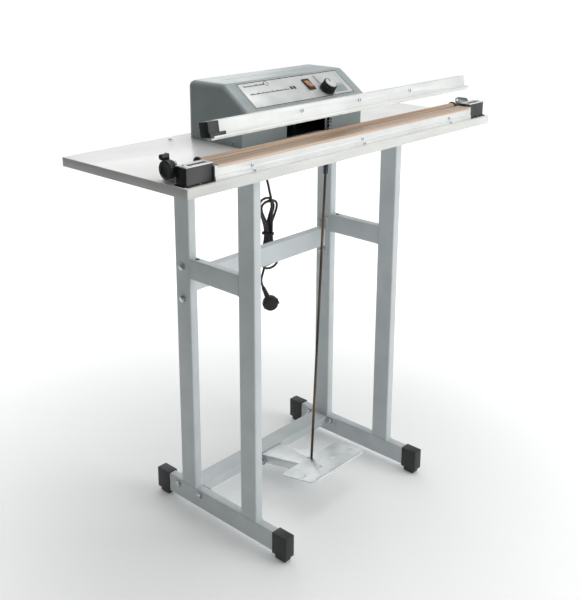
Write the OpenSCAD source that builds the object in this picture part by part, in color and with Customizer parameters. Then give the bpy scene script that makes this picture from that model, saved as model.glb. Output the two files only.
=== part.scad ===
// Foot-operated impulse heat sealer on a tubular stand.
// Millimetres. The origin is on the floor, midway between the frame's sides and midway along the foot rails.
// +X runs along the table to the right, +Y goes from the operator to the back, +Z is up.

/* [Table] */
// Length of the lower jaw between its two end covers
seal_len = 810; // [675:1:972]
// Height of the table's top face above the floor
table_h = 849; // [707:1:1019]
// Thickness of the table board
table_t = 18; // [14:0.5:26]
// How far the board runs on past each end cover
table_end = 9; // [4:1:40]
// How far the board runs on behind the housing
table_back = 35; // [20:1:80]
// How far the board stands out in front of the front legs
front_overhang = 80.5; // [60:0.5:110]

/* [Frame] */
// Width of the frame over the outside of its legs
frame_w = 479; // [400:1:575]
// Narrow side of the frame tube
tube_w = 21; // [17.5:0.5:26]
// Deep side of the frame tube
tube_d = 45; // [38:0.5:54]
// Wall of the frame tube
tube_wall = 2; // [1:0.25:3]
// Distance between the front and rear legs, centre to centre
leg_spacing = 190; // [160:1:228]
// Overall length of a foot rail with its caps
rail_len = 408; // [380:1:520]
// Height of the foot rail's underside above the floor
glide_h = 15; // [10:1:25]
// Height of the centre of the side rails
side_rail_z = 582.5; // [400:0.5:640]
// Height of the centre of the back crossbar
back_bar_z = 546.5; // [300:0.5:600]
// Diameter of the frame bolts
frame_bolt_d = 8; // [6:0.5:10]

/* [Jaws] */
// Depth of the lower jaw, front to back
jaw_depth = 28; // [24:1:34]
// Height of the lower jaw's extrusion
jaw_h = 27; // [22:1:30]
// Distance from the board's front edge to the lower jaw
jaw_setback = 8; // [6:0.5:14]
// Height of the upper jaw's extrusion
upper_h = 29; // [24:1:36]
// Depth of the upper jaw's extrusion
upper_depth = 22; // [18:1:26]
// Width of the silicone strip
silicone_w = 12; // [8:1:16]
// Length of one end cover
cover_len = 61; // [45:1:75]
// Height of the end covers above the board
cover_h = 34; // [28:0.5:35.5]
// Radius of the wound cloth roll
roll_r = 8.5; // [6.5:0.5:9]
// Radius of the roll's knob
roll_knob_r = 16.5; // [12:0.5:18]

/* [Housing] */
// Width of the housing
housing_w = 377; // [320:1:452]
// Distance from the board's front edge to the housing's front wall
housing_y = 162; // [155:1:190]
// Depth of the housing from its front wall to its back
housing_depth = 160; // [140:1:192]
// Height of the housing
housing_h = 121; // [115:1:145]
// Radius of the housing's edges
housing_r = 14; // [6:1:18]
// Sheet thickness of the housing
sheet_t = 1.5; // [1:0.25:2.5]

/* [Motion] */
// Angle by which the jaw arm stands open at rest
open_angle = 9.5; // [6:0.5:10]
// Angle by which the pedal's foot plate tips up at rest
pedal_tilt = 11.5; // [9:0.5:13]
// Diameter of the pull rod
rod_d = 6; // [5:0.5:8]
// Diameter of the jaw arm's pivot shaft
shaft_d = 12; // [8:0.5:14]
// Sideways place of the pedal, the pull rod and the jaw arm
pull_x = 4; // [-20:1:20]

/* [Pedal] */
// Width of the foot plate
foot_w = 190; // [150:1:228]
// Length of the foot plate
foot_len = 99; // [80:1:119]
// Width of the pedal's arm
arm_w = 68; // [56:1:82]
// Thickness of the pedal's sheet
pedal_t = 3; // [2:0.25:4]

/* [Controls] */
// Diameter of the timer knob
knob_d = 35; // [28:1:38]
// Height of the timer knob
knob_h = 20; // [14:1:26]
// Width of the switch's frame
switch_w = 21; // [18:0.5:24]
// Length of the switch's frame
switch_len = 32; // [28:0.5:36]

/* [Mains cord] */
// Diameter of the mains cord
cord_d = 6; // [6:0.5:7]

/* [Hidden] */
$fn = 48;

// Gaps: two fixed pieces, a running fit, and a free pass through sheet
gap = 0.1;
run_gap = 0.05;
free_gap = 0.6;

// Frame places
side_x = (frame_w - tube_w) / 2;
leg_mid = 2;
front_leg_y = leg_mid - leg_spacing / 2;
rear_leg_y = leg_mid + leg_spacing / 2;
rail_z = glide_h + tube_d / 2;
cap_wall = 2;
cap_len = 40;
cap_end = 4;
tube_len = rail_len - 2 * cap_end;
leg_flange_t = 3;
bolt_head_h = 5.3;
bolt_nut_h = 6.5;
leg_bottom = glide_h + tube_d;
board_under = table_h - table_t;
end_plate_t = 3;
bar_inner = frame_w / 2 - tube_w - end_plate_t;
bolt_pitch = 27 + tube_d;
end_plate_h = tube_w + 4;
low_bar_z = leg_bottom - end_plate_h / 2;

// Table places
table_front = front_leg_y - tube_d / 2 - front_overhang;
table_len = seal_len + 2 * (cover_len + table_end);
table_depth = housing_y + housing_depth + table_back;
table_bolt_y = [front_leg_y - tube_d / 2 - 20.5, rear_leg_y + tube_d / 2 + 16.5];
table_bolt_d = 7;
bolt_sink = 3;

// Jaw stack, in deck places: y from the board's front edge, z from the board's top
cloth_t = 0.3;
strip_t = 0.6;
element_t = 0.3;
element_w = 8;
jaw_mid_y = jaw_setback + 15;
cloth_top = jaw_h + strip_t + element_t + gap + cloth_t;
roll_y = jaw_setback + jaw_depth + 11.5 + roll_r;
roll_z = 24;
roll_half = seal_len / 2 - 7;
core_r = 4;
upper_gap = 0.6;
silicone_h = 4;
upper_z = cloth_top + upper_gap + silicone_h;
upper_half = seal_len / 2 - 21;
cover_y0 = jaw_setback + 4;
cover_y1 = min(cover_y0 + jaw_depth + 4, roll_y - roll_knob_r - 1);
cover_wall = 2;

// Jaw arm, in deck places, drawn with the jaws closed
pivot_y = housing_y + 93;
pivot_z = 32;
lug_reach = 157;
lug_y = pivot_y - lug_reach;
lug_z = 40.5;
lug_t = 5;
arm_inner = 26;
arm_t = 5;
upper_back_y = jaw_mid_y - upper_depth / 2 + upper_depth;
arm_flange_t = 4;
arm_low = roll_z + roll_r + 4;
arm_high = upper_z + upper_h - 3;
arm_hub_r = 13;
lug_slot = [lug_y - 1, lug_y + 6];
tail_mid_y = pivot_y + 17;
tail_low = pivot_z + 3;
tail_t = 5;
switch_z = pivot_z + 20;

// Linkage ends at rest, in the part's own frame
function turned(dy, dz, a) = [dy * cos(a) + dz * sin(a), -dy * sin(a) + dz * cos(a)];
lug_rest = turned(-lug_reach, lug_z - pivot_z, open_angle);
lug_point = [table_front + pivot_y + lug_rest[0], table_h + pivot_z + lug_rest[1]];
hinge_y = rear_leg_y - tube_d / 2 - 9.5;
hinge_z = low_bar_z - 7.5;
hinge_bolt_d = 8;
pedal_top = 17;
pedal_rear = 3.7;
foot_start = 120;
rod_reach = 129;
foot_rest = turned(-rod_reach, pedal_top - pedal_t / 2, pedal_tilt);
foot_point = [hinge_y + foot_rest[0], hinge_z + foot_rest[1]];
rod_dy = lug_point[0] - foot_point[0];
rod_dz = lug_point[1] - foot_point[1];
rod_span = sqrt(rod_dy * rod_dy + rod_dz * rod_dz);
rod_lean = atan2(-rod_dy, rod_dz);
rod_tail = 16;
rod_head = 15;
bush_y = foot_point[0] + rod_dy * (table_h - table_t / 2 - foot_point[1]) / rod_dz;
bush_flange_t = 2.5;
bush_r = rod_d / 2 + 6;

// Control slope: from its lip to the housing's flat top
lip_out = 15;
slope_foot_z = 70;
slope_top_y = housing_y + 55;
slope_a = atan2(housing_h - slope_foot_z, slope_top_y - housing_y + lip_out);
slope_len = (housing_h - slope_foot_z) / sin(slope_a);
label_t = 0.8;
pot_r = 3;
pot_hole_r = 5;
switch_deep = 20;
label_half = housing_w / 2 - 32;
label_from = 4.5;
label_to = slope_len - 8;
switch_x = pull_x + 34;
switch_d = 36;
knob_x = pull_x + 74;
knob_d0 = 58;

// Cord: its route in the part's own frame, and the hank it is folded into
gland_x = 90;
gland_z = 24;
gland_len = 36;
gland_r = 6;
cord_drop = [[90, 162, 873], [90, 170, 873], [90, 181, 870], [90, 190, 862], [90, 194, 850],
    [91, 195, 835], [92, 195, 818], [93, 195, 800], [95, 194, 780], [98, 193, 760], [101, 191, 740],
    [105, 189, 720], [109, 187, 700], [113, 184, 680], [116, 182, 662], [118, 180, 648]];
cord_tail = [[115, 201, 461], [112, 202, 449], [108.5, 203, 438], [107, 202.5, 427], [110, 200.5, 414]];
hank_mid = [118, 190, 554];
hank_size = [66, 26, 188];
plug_r = 20;
plug_t = 17;
plug_neck = 49;
plug_turn = -46;
plug_lean = -22.6;
plug_at = [123, 187, 369];

// ---------- helpers ----------

// Place something in deck places
module deck() translate([0, table_front, table_h]) children();

// Extrude a side outline, drawn with y across and z up, from x0 to x1
module along_x(x0, x1) translate([x0, 0, 0]) rotate([90, 0, 90]) linear_extrude(x1 - x0) children();

// A round bar along X
module bar_x(x0, x1, r) translate([x0, 0, 0]) rotate([0, 90, 0]) cylinder(h = x1 - x0, r = r);

// A box from its low corner to its high corner
module block(low, high) translate(low) cube(high - low);

// A hexagon of a given width across flats
module hex(across, h) cylinder(h = h, r = across / 2 / cos(30), $fn = 6);

// Turn about the jaw's pivot from the closed pose to the rest pose
module opened() deck() translate([0, pivot_y, pivot_z]) rotate([-open_angle, 0, 0])
    translate([0, -pivot_y, -pivot_z]) children();

// The pedal's own places: origin on the hinge, -Y towards the toe, +Z square to the plate
module pedal_place() translate([pull_x, hinge_y, hinge_z]) rotate([-pedal_tilt, 0, 0]) children();

// Along the pull rod: +Z up the rod from the pedal's hole
module rod_place() translate([pull_x, foot_point[0], foot_point[1]]) rotate([rod_lean, 0, 0]) children();

// A place on the control slope: x, distance down from its top edge, +Z standing out of it
module on_slope(x, d) deck() translate([x, slope_top_y - d * cos(slope_a), housing_h - d * sin(slope_a)])
    rotate([slope_a, 0, 0]) children();

// Sweep a round section of radius r along a list of points, with n sides
function unit(v) = v / norm(v);
function tangent(p, i) = unit(p[min(i + 1, len(p) - 1)] - p[max(i - 1, 0)]);
function ring(p, i, r, n, side) =
    let (t = tangent(p, i), u = unit(side - (side * t) * t), w = cross(t, u))
    [for (k = [0 : n - 1]) p[i] + r * (cos(360 * k / n) * u + sin(360 * k / n) * w)];
module sweep(p, r, n, side) {
    last = len(p) - 1;
    points = [for (i = [0 : last]) each ring(p, i, r, n, side)];
    sides = [for (i = [0 : last - 1]) for (k = [0 : n - 1]) let (a = i * n + k, b = i * n + (k + 1) % n)
        each [[a, a + n, b], [b, a + n, b + n]]];
    start = [for (k = [0 : n - 1]) k];
    finish = [for (k = [0 : n - 1]) last * n + n - 1 - k];
    polyhedron(points = points, faces = concat(sides, [start], [finish]));
}

// ---------- stand ----------

module foot_rail(s) {
    color("#b3bcbf")
    difference() {
        block([s * side_x - tube_w / 2, -tube_len / 2, glide_h],
            [s * side_x + tube_w / 2, tube_len / 2, glide_h + tube_d]);
        block([s * side_x - tube_w / 2 + tube_wall, -tube_len, glide_h + tube_wall],
            [s * side_x + tube_w / 2 - tube_wall, tube_len, glide_h + tube_d - tube_wall]);
        for (t = [-1, 1])
            translate([s * side_x, rear_leg_y + t * bolt_pitch / 2, low_bar_z])
                bar_x(-tube_w, tube_w, frame_bolt_d / 2 + gap);
    }
}
module left_foot_rail() foot_rail(-1);
module right_foot_rail() foot_rail(1);

// One end cap: a sleeve over the rail's end, closed at the end, with a glide foot below
module foot_cap(s, t) {
    half = tube_w / 2;
    translate([s * side_x, t * rail_len / 2, 0])
    difference() {
        union() {
            block([-half - cap_wall, min(0, -t * cap_len), glide_h - cap_wall],
                [half + cap_wall, max(0, -t * cap_len), glide_h + tube_d + cap_wall]);
            block([-half + 1, min(-t * 6, -t * 34), 3], [half - 1, max(-t * 6, -t * 34), glide_h - cap_wall]);
            block([-half + 4, min(-t * 9, -t * 31), 0], [half - 4, max(-t * 9, -t * 31), 3]);
        }
        block([-half - gap, min(-t * cap_end, -t * (cap_len + 1)), glide_h - gap],
            [half + gap, max(-t * cap_end, -t * (cap_len + 1)), glide_h + tube_d + gap]);
    }
}
module foot_caps() color("#1c1f22") for (s = [-1, 1]) for (t = [-1, 1]) foot_cap(s, t);

// A leg: an upright tube with a flange under the board, welded to it
module leg(s, y, bolt_y, is_rear) {
    x = s * side_x;
    y0 = min(y - tube_d / 2, bolt_y - 12);
    y1 = max(y + tube_d / 2, bolt_y + 12);
    color("#b3bcbf")
    difference() {
        union() {
            block([x - tube_w / 2, y - tube_d / 2, leg_bottom], [x + tube_w / 2, y + tube_d / 2, board_under]);
            block([x - tube_w, y0, board_under - leg_flange_t], [x + tube_w, y1, board_under]);
        }
        block([x - tube_w / 2 + tube_wall, y - tube_d / 2 + tube_wall, leg_bottom - 1],
            [x + tube_w / 2 - tube_wall, y + tube_d / 2 - tube_wall, board_under - leg_flange_t]);
        translate([x, bolt_y, board_under - 2 * leg_flange_t])
            cylinder(h = 3 * leg_flange_t, d = table_bolt_d + 2 * gap);
        if (is_rear)
            for (t = [-1, 1])
                translate([x, y, back_bar_z + t * bolt_pitch / 2]) bar_x(-tube_w, tube_w, frame_bolt_d / 2 + gap);
    }
}
module left_front_leg() leg(-1, front_leg_y, table_bolt_y[0], false);
module right_front_leg() leg(1, front_leg_y, table_bolt_y[0], false);
module left_rear_leg() leg(-1, rear_leg_y, table_bolt_y[1], true);
module right_rear_leg() leg(1, rear_leg_y, table_bolt_y[1], true);

module side_rail(s) {
    y0 = front_leg_y + tube_d / 2;
    y1 = rear_leg_y - tube_d / 2;
    color("#b3bcbf")
    difference() {
        block([s * side_x - tube_w / 2, y0, side_rail_z - tube_d / 2],
            [s * side_x + tube_w / 2, y1, side_rail_z + tube_d / 2]);
        block([s * side_x - tube_w / 2 + tube_wall, y0 - 1, side_rail_z - tube_d / 2 + tube_wall],
            [s * side_x + tube_w / 2 - tube_wall, y1 + 1, side_rail_z + tube_d / 2 - tube_wall]);
    }
}
module left_side_rail() side_rail(-1);
module right_side_rail() side_rail(1);

// Back crossbar: a tube on edge with an upright plate welded to each end
module back_crossbar() {
    color("#b3bcbf")
    difference() {
        union() {
            block([-bar_inner, rear_leg_y - tube_w / 2, back_bar_z - tube_d / 2],
                [bar_inner, rear_leg_y + tube_w / 2, back_bar_z + tube_d / 2]);
            for (s = [-1, 1])
                translate([s * (bar_inner + end_plate_t / 2), rear_leg_y, back_bar_z])
                    cube([end_plate_t, 30, bolt_pitch + 26], center = true);
        }
        block([-bar_inner - 1, rear_leg_y - tube_w / 2 + tube_wall, back_bar_z - tube_d / 2 + tube_wall],
            [bar_inner + 1, rear_leg_y + tube_w / 2 - tube_wall, back_bar_z + tube_d / 2 - tube_wall]);
        for (s = [-1, 1]) for (t = [-1, 1])
            translate([s * bar_inner, rear_leg_y, back_bar_z + t * bolt_pitch / 2])
                bar_x(-2 * end_plate_t, 2 * end_plate_t, frame_bolt_d / 2 + gap);
    }
}

// Bottom crossbar: a tube lying flat, its end plates, and two ears for the pedal's hinge
ear_x = arm_w / 2 + 0.5;
ear_t = 3;
module hinge_ear(x0) {
    translate([pull_x, hinge_y, hinge_z])
    along_x(x0, x0 + ear_t)
    hull() {
        circle(r = 9, $fn = 32);
        translate([rear_leg_y - tube_d / 2 - hinge_y - 1, -2]) square([1, tube_w - 2]);
    }
}
module bottom_crossbar() {
    color("#b3bcbf")
    difference() {
        union() {
            block([-bar_inner, rear_leg_y - tube_d / 2, low_bar_z - tube_w / 2],
                [bar_inner, rear_leg_y + tube_d / 2, low_bar_z + tube_w / 2]);
            for (s = [-1, 1])
                translate([s * (bar_inner + end_plate_t / 2), rear_leg_y, low_bar_z])
                    cube([end_plate_t, bolt_pitch + 26, end_plate_h], center = true);
            hinge_ear(ear_x);
            hinge_ear(-ear_x - ear_t);
        }
        block([-bar_inner - 1, rear_leg_y - tube_d / 2 + tube_wall, low_bar_z - tube_w / 2 + tube_wall],
            [bar_inner + 1, rear_leg_y + tube_d / 2 - tube_wall, low_bar_z + tube_w / 2 - tube_wall]);
        for (s = [-1, 1]) for (t = [-1, 1])
            translate([s * bar_inner, rear_leg_y + t * bolt_pitch / 2, low_bar_z])
                bar_x(-2 * end_plate_t, 2 * end_plate_t, frame_bolt_d / 2 + gap);
        translate([pull_x, hinge_y, hinge_z])
            bar_x(-ear_x - 2 * ear_t, ear_x + 2 * ear_t, hinge_bolt_d / 2 + run_gap);
    }
}

// A frame bolt from outside, with its washer face, and its nut inside
module frame_bolt(s) {
    outer = frame_w / 2 + gap;
    inner = bar_inner - gap;
    mirror([s < 0 ? 1 : 0, 0, 0]) {
        bar_x(inner - bolt_nut_h - 3, outer, frame_bolt_d / 2);
        translate([outer, 0, 0]) rotate([0, 90, 0]) hex(1.6 * frame_bolt_d, bolt_head_h);
    }
}
module frame_nut(s) {
    washer_t = 1.6;
    mirror([s < 0 ? 1 : 0, 0, 0])
    translate([bar_inner - gap - bolt_nut_h, 0, 0]) rotate([0, 90, 0])
    difference() {
        union() {
            hex(1.6 * frame_bolt_d, bolt_nut_h - washer_t);
            translate([0, 0, bolt_nut_h - washer_t]) cylinder(h = washer_t, r = frame_bolt_d);
        }
        translate([0, 0, -1]) cylinder(h = bolt_nut_h + 2, r = frame_bolt_d / 2 + run_gap);
    }
}
module frame_bolts() {
    color("#c9ccce")
    for (s = [-1, 1]) for (t = [-1, 1]) {
        translate([0, rear_leg_y, back_bar_z + t * bolt_pitch / 2]) {
            frame_bolt(s);
            frame_nut(s);
        }
        translate([0, rear_leg_y + t * bolt_pitch / 2, low_bar_z]) {
            frame_bolt(s);
            frame_nut(s);
        }
    }
}

module table_bolts() {
    color("#c9ccce")
    for (s = [-1, 1]) for (y = table_bolt_y)
        translate([s * side_x, y, 0]) {
            translate([0, 0, board_under - leg_flange_t - 2])
                cylinder(h = table_t + leg_flange_t + 2, d = table_bolt_d);
            translate([0, 0, table_h - bolt_sink]) cylinder(h = bolt_sink, d = 2 * table_bolt_d);
        }
}

// ---------- table ----------

module table_top() {
    color("#e9e9e6")
    difference() {
        block([-table_len / 2, table_front, board_under], [table_len / 2, table_front + table_depth, table_h]);
        translate([pull_x, bush_y, board_under - 1]) cylinder(h = table_t + 2, r = bush_r + gap);
        for (s = [-1, 1]) for (y = table_bolt_y)
            translate([s * side_x, y, 0]) {
                translate([0, 0, board_under - 1]) cylinder(h = table_t + 2, d = table_bolt_d + 2 * gap);
                translate([0, 0, table_h - bolt_sink - gap])
                    cylinder(h = bolt_sink + 1, d = 2 * table_bolt_d + 2 * gap);
            }
    }
}

module rod_bush() {
    color("#2a2d30")
    translate([pull_x, bush_y, 0])
    difference() {
        union() {
            translate([0, 0, board_under - 4]) cylinder(h = table_t + 4, r = bush_r);
            translate([0, 0, table_h]) cylinder(h = bush_flange_t, r = bush_r + 5);
        }
        translate([0, 0, board_under - 5]) cylinder(h = table_t + 5 + 2 * bush_flange_t, r = rod_d / 2 + 1.5);
    }
}

// ---------- pedal and pull rod ----------

module foot_pedal() {
    flange_h = 20;
    color("#c4c9cb")
    pedal_place()
    difference() {
        union() {
            translate([-arm_w / 2, -foot_start - 1, pedal_top - pedal_t])
                cube([arm_w, foot_start + 1 + pedal_rear, pedal_t]);
            translate([0, -foot_start - foot_len / 2, pedal_top - pedal_t]) linear_extrude(pedal_t) foot_outline();
            for (x = [-arm_w / 2, arm_w / 2 - pedal_t])
                along_x(x, x + pedal_t) union() {
                    polygon([[pedal_rear, pedal_top], [pedal_rear, 0], [-12, pedal_top - flange_h],
                        [-foot_start + 26, pedal_top - flange_h], [-foot_start - 4, pedal_top]]);
                    circle(r = 8);
                }
        }
        bar_x(-arm_w, arm_w, hinge_bolt_d / 2 + run_gap);
        rod_slot();
    }
}
module foot_outline() {
    r = 14;
    hull()
    for (s = [-1, 1]) for (t = [-1, 1])
        translate([s * (foot_w / 2 - r), t * (foot_len / 2 - r)]) circle(r = r, $fn = 32);
}
// The slot lets the pedal's arc slide past the rod
module rod_slot() {
    w = rod_d / 2 + free_gap;
    run = [-rod_reach - 1, -rod_reach + 8];
    for (y = run) translate([0, y, 0]) cylinder(h = 40, r = w);
    block([-w, run[0], 0], [w, run[1], 40]);
}

module pedal_bolt() {
    reach = ear_x + ear_t + gap;
    across = 1.625 * hinge_bolt_d;
    color("#c9ccce")
    translate([pull_x, hinge_y, hinge_z]) {
        bar_x(-reach, reach + bolt_nut_h + 3, hinge_bolt_d / 2);
        translate([-reach - bolt_head_h, 0, 0]) rotate([0, 90, 0]) hex(across, bolt_head_h);
        translate([reach, 0, 0]) rotate([0, 90, 0])
        difference() {
            hex(across, bolt_nut_h);
            translate([0, 0, -1]) cylinder(h = bolt_nut_h + 2, r = hinge_bolt_d / 2 + run_gap);
        }
    }
}

module pull_rod() color("#9aa0a3") rod_place()
    translate([0, 0, -rod_tail]) cylinder(h = rod_span + rod_tail + rod_head, d = rod_d);

// A nut on the rod, from height s upwards
module rod_nut(s, h) {
    translate([0, 0, s])
    difference() {
        hex(1.625 * rod_d, h);
        translate([0, 0, -1]) cylinder(h = h + 2, r = rod_d / 2 + run_gap);
    }
}
module rod_washer(s) {
    translate([0, 0, s])
    difference() {
        cylinder(h = 1.6, r = rod_d / 2 + 5);
        translate([0, 0, -1]) cylinder(h = 4, r = rod_d / 2 + run_gap);
    }
}
rod_joint_s = (board_under - 58 - foot_point[1]) / cos(rod_lean);
module rod_nuts() {
    color("#3a3d40")
    rod_place() {
        rod_washer(-6.4);
        rod_nut(-13, 6.5);
        rod_nut(rod_joint_s, 40);
        rod_washer(rod_span + 4.9);
        rod_nut(rod_span + 6.6, 6.5);
    }
}

// Open coil spring round the rod, from the bush up to the arm's lug
spring_wire = 1;
spring_coil_r = rod_d / 2 + 4.6;
spring_turns = 7;
spring_low = table_h + bush_flange_t + spring_wire + 0.2;
spring_high = lug_point[1] - lug_t / 2 - spring_wire - 2.4;
spring_y = (bush_y + lug_point[0]) / 2;
module return_spring() {
    steps = spring_turns * 16;
    path = [for (i = [0 : steps]) [pull_x + spring_coil_r * cos(i * 22.5), spring_y + spring_coil_r * sin(i * 22.5),
        spring_low + (spring_high - spring_low) * i / steps]];
    color("#8d9396") sweep(path, spring_wire, 6, [0, 0, 1]);
}

// ---------- jaw arm ----------

module arm_outline() {
    polygon([[pivot_y, pivot_z - arm_hub_r], [lug_y - 8, pivot_z - arm_hub_r + 1], [roll_y + roll_r + 7, arm_low],
        [upper_back_y + gap, arm_low], [upper_back_y + gap, arm_high], [upper_back_y + 20, arm_high],
        [lug_y + 22, pivot_z + arm_hub_r - 1], [pivot_y, pivot_z + arm_hub_r]]);
}
module jaw_arm() {
    boss_r = shaft_d / 2 + 4;
    y0 = upper_back_y + gap;
    color("#24272a")
    opened() translate([pull_x, 0, 0])
    difference() {
        union() {
            for (x = [-arm_inner - arm_t, arm_inner])
                along_x(x, x + arm_t) union() {
                    arm_outline();
                    translate([pivot_y, pivot_z]) circle(r = arm_hub_r);
                    translate([pivot_y, tail_low]) square([tail_mid_y - pivot_y + 5, tail_t]);
                }
            block([-45, y0, arm_low], [45, y0 + arm_flange_t, arm_high]);
            block([-arm_inner, lug_y - 14, lug_z - lug_t / 2], [arm_inner, lug_y + 16, lug_z + lug_t / 2]);
            translate([0, pivot_y, pivot_z]) bar_x(-arm_inner - arm_t - 3, arm_inner + arm_t + 3, boss_r);
            block([-arm_inner, tail_mid_y - 5, tail_low], [arm_inner, tail_mid_y + 5, tail_low + tail_t]);
        }
        translate([0, pivot_y, pivot_z]) bar_x(-50, 50, shaft_d / 2 + run_gap);
        for (y = lug_slot) translate([0, y, 0]) cylinder(h = 80, r = rod_d / 2 + free_gap);
        block([-rod_d / 2 - free_gap, lug_slot[0], 0], [rod_d / 2 + free_gap, lug_slot[1], 80]);
    }
}

bracket_x = arm_inner + arm_t + 3.6;
bracket_t = 4;
bracket_half = 24;
bracket_foot = 26;
bridge_y = [pivot_y + 10, pivot_y + 23];
shaft_half = bracket_x + bracket_t + 8;
module pivot_shaft() {
    color("#b9bec1")
    deck() translate([pull_x, pivot_y, pivot_z]) {
        bar_x(-shaft_half, shaft_half, shaft_d / 2);
        for (s = [-1, 1]) translate([s * (bracket_x + bracket_t + 1.2) - 0.6, 0, 0]) bar_x(0, 1.2, shaft_d / 2 + 3);
    }
}
module bearing_bracket(s) {
    color("#8f979b")
    deck() translate([pull_x, 0, 0]) mirror([s < 0 ? 1 : 0, 0, 0])
    difference() {
        union() {
            along_x(bracket_x, bracket_x + bracket_t)
            union() {
                translate([pivot_y - bracket_half, 0]) square([2 * bracket_half, pivot_z]);
                translate([pivot_y, pivot_z]) circle(r = 18);
                translate([bridge_y[0] - 2, 0]) square([bridge_y[1] - bridge_y[0] + 3, switch_z]);
            }
            block([bracket_x, pivot_y - bracket_half, 0],
                [bracket_x + bracket_foot, pivot_y + bracket_half, bracket_t]);
        }
        translate([0, pivot_y, pivot_z]) bar_x(0, bracket_x + 20, shaft_d / 2 + run_gap);
        for (t = [-1, 1]) translate([bracket_x + 17, pivot_y + t * 15, -1]) cylinder(h = 8, r = 2.6);
    }
}
module left_bearing_bracket() bearing_bracket(-1);
module right_bearing_bracket() bearing_bracket(1);

// ---------- upper jaw ----------

upper_front_y = upper_back_y - upper_depth;
lip_h = 3.4;
jaw_lip_out = 3;
lip_run = 16;
extrusion_t = 2.2;
upper_screw_z = upper_z + upper_h * 0.62;
module upper_jaw() {
    color("#dcdddb")
    opened()
    difference() {
        union() {
            along_x(-upper_half, upper_half)
                translate([upper_front_y, upper_z + lip_h - 0.01]) square([upper_depth, upper_h - lip_h + 0.01]);
            along_x(-upper_half - lip_run, upper_half + lip_run) translate([upper_front_y - jaw_lip_out, upper_z])
                square([upper_depth + jaw_lip_out, lip_h]);
        }
        along_x(-upper_half - 1, upper_half + 1)
            translate([upper_front_y + extrusion_t, upper_z + lip_h + extrusion_t])
                square([upper_depth - 2 * extrusion_t, upper_h - lip_h - 2 * extrusion_t]);
        for (x = upper_screw_x) translate([x, upper_front_y, upper_screw_z]) rotate([90, 0, 0])
            cylinder(h = 10, r = 2.1, center = true);
    }
}
upper_screw_x = [for (k = [-1 : 1]) k * seal_len * 0.212];
module upper_jaw_screws() {
    color("#a9aeb1")
    opened() for (x = upper_screw_x) translate([x, upper_front_y, upper_screw_z]) rotate([90, 0, 0]) {
        translate([0, 0, -4.5]) cylinder(h = 4.5, r = 2);
        cylinder(h = 1.8, r = 3.4);
    }
}
module silicone_strip() {
    color("#e8e6df")
    opened() along_x(-upper_half - lip_run, upper_half + lip_run)
        translate([jaw_mid_y - silicone_w / 2, upper_z - silicone_h]) square([silicone_w, silicone_h]);
}
// Black end piece: a block on the jaw's end, a front lip and a foot beyond the strip's end
module upper_jaw_left_cap() {
    end = -upper_half;
    start = end - 25;
    floor = upper_z + lip_h + gap;
    foot_low = max(floor - 5, cover_h + 0.8);
    front = upper_front_y - jaw_lip_out;
    color("#1c1f22")
    opened() {
        block([start, upper_front_y, floor], [end - gap, upper_back_y, upper_z + upper_h]);
        block([start, front, floor], [end + 12, upper_front_y - gap, floor + 6]);
        block([start, front, foot_low], [end - lip_run - gap, upper_back_y, floor]);
        block([start, upper_front_y - 1, floor], [end - gap, upper_front_y + 1, floor + 6]);
    }
}
module upper_jaw_right_cap() {
    end = upper_half;
    floor = upper_z + lip_h + gap;
    color("#c9cccd")
    opened() {
        block([end + gap, upper_front_y, floor], [end + gap + 3, upper_back_y, upper_z + upper_h]);
        block([end + gap, upper_front_y, floor], [end + 14, upper_back_y, floor + 2.5]);
    }
}

// ---------- lower jaw ----------

module lower_jaw() {
    half = seal_len / 2 - gap;
    back = jaw_setback + jaw_depth;
    color("#dcdddb")
    deck()
    difference() {
        along_x(-half, half) polygon([[jaw_setback - ledge_out, 0], [back, 0], [back, jaw_h],
            [jaw_setback, jaw_h], [jaw_setback, 9], [jaw_setback - ledge_out, 8.2]]);
        along_x(-half - 1, half + 1)
            translate([jaw_setback + jaw_wall, jaw_wall]) square([jaw_depth - 2 * jaw_wall, jaw_h - 2 * jaw_wall]);
        for (x = lower_screw_x) for (p = lower_screw_at)
            translate([x + p[0], jaw_setback, p[1]]) rotate([90, 0, 0])
                cylinder(h = 16, r = lower_screw_r + gap, center = true);
    }
}
lower_screw_x = [for (k = [-1 : 1]) k * seal_len * 0.389];
lower_screw_r = 1.6;
jaw_wall = 3;
// Each pair of screws: shift along the jaw, height, and how far its face stands out
ledge_out = 1.5;
lower_screw_at = [[0, 13.4, 0], [5, 4, ledge_out]];
module lower_jaw_screws() {
    color("#a9aeb1")
    deck() for (x = lower_screw_x) for (p = lower_screw_at)
        translate([x + p[0], jaw_setback - p[2], p[1]]) rotate([90, 0, 0]) {
            translate([0, 0, -7]) cylinder(h = 7, r = lower_screw_r);
            cylinder(h = 1.6, r = 3);
        }
}
module insulation_strip() {
    color("#b9a183")
    deck() along_x(-seal_len / 2 + 1, seal_len / 2 - 1)
        translate([jaw_mid_y - 11, jaw_h]) square([22, strip_t]);
}
module heating_element() {
    color("#9a8f7f")
    deck() along_x(-seal_len / 2 - 20, seal_len / 2 + 20)
        translate([jaw_mid_y - element_w / 2, jaw_h + strip_t]) square([element_w, element_t]);
}

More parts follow.
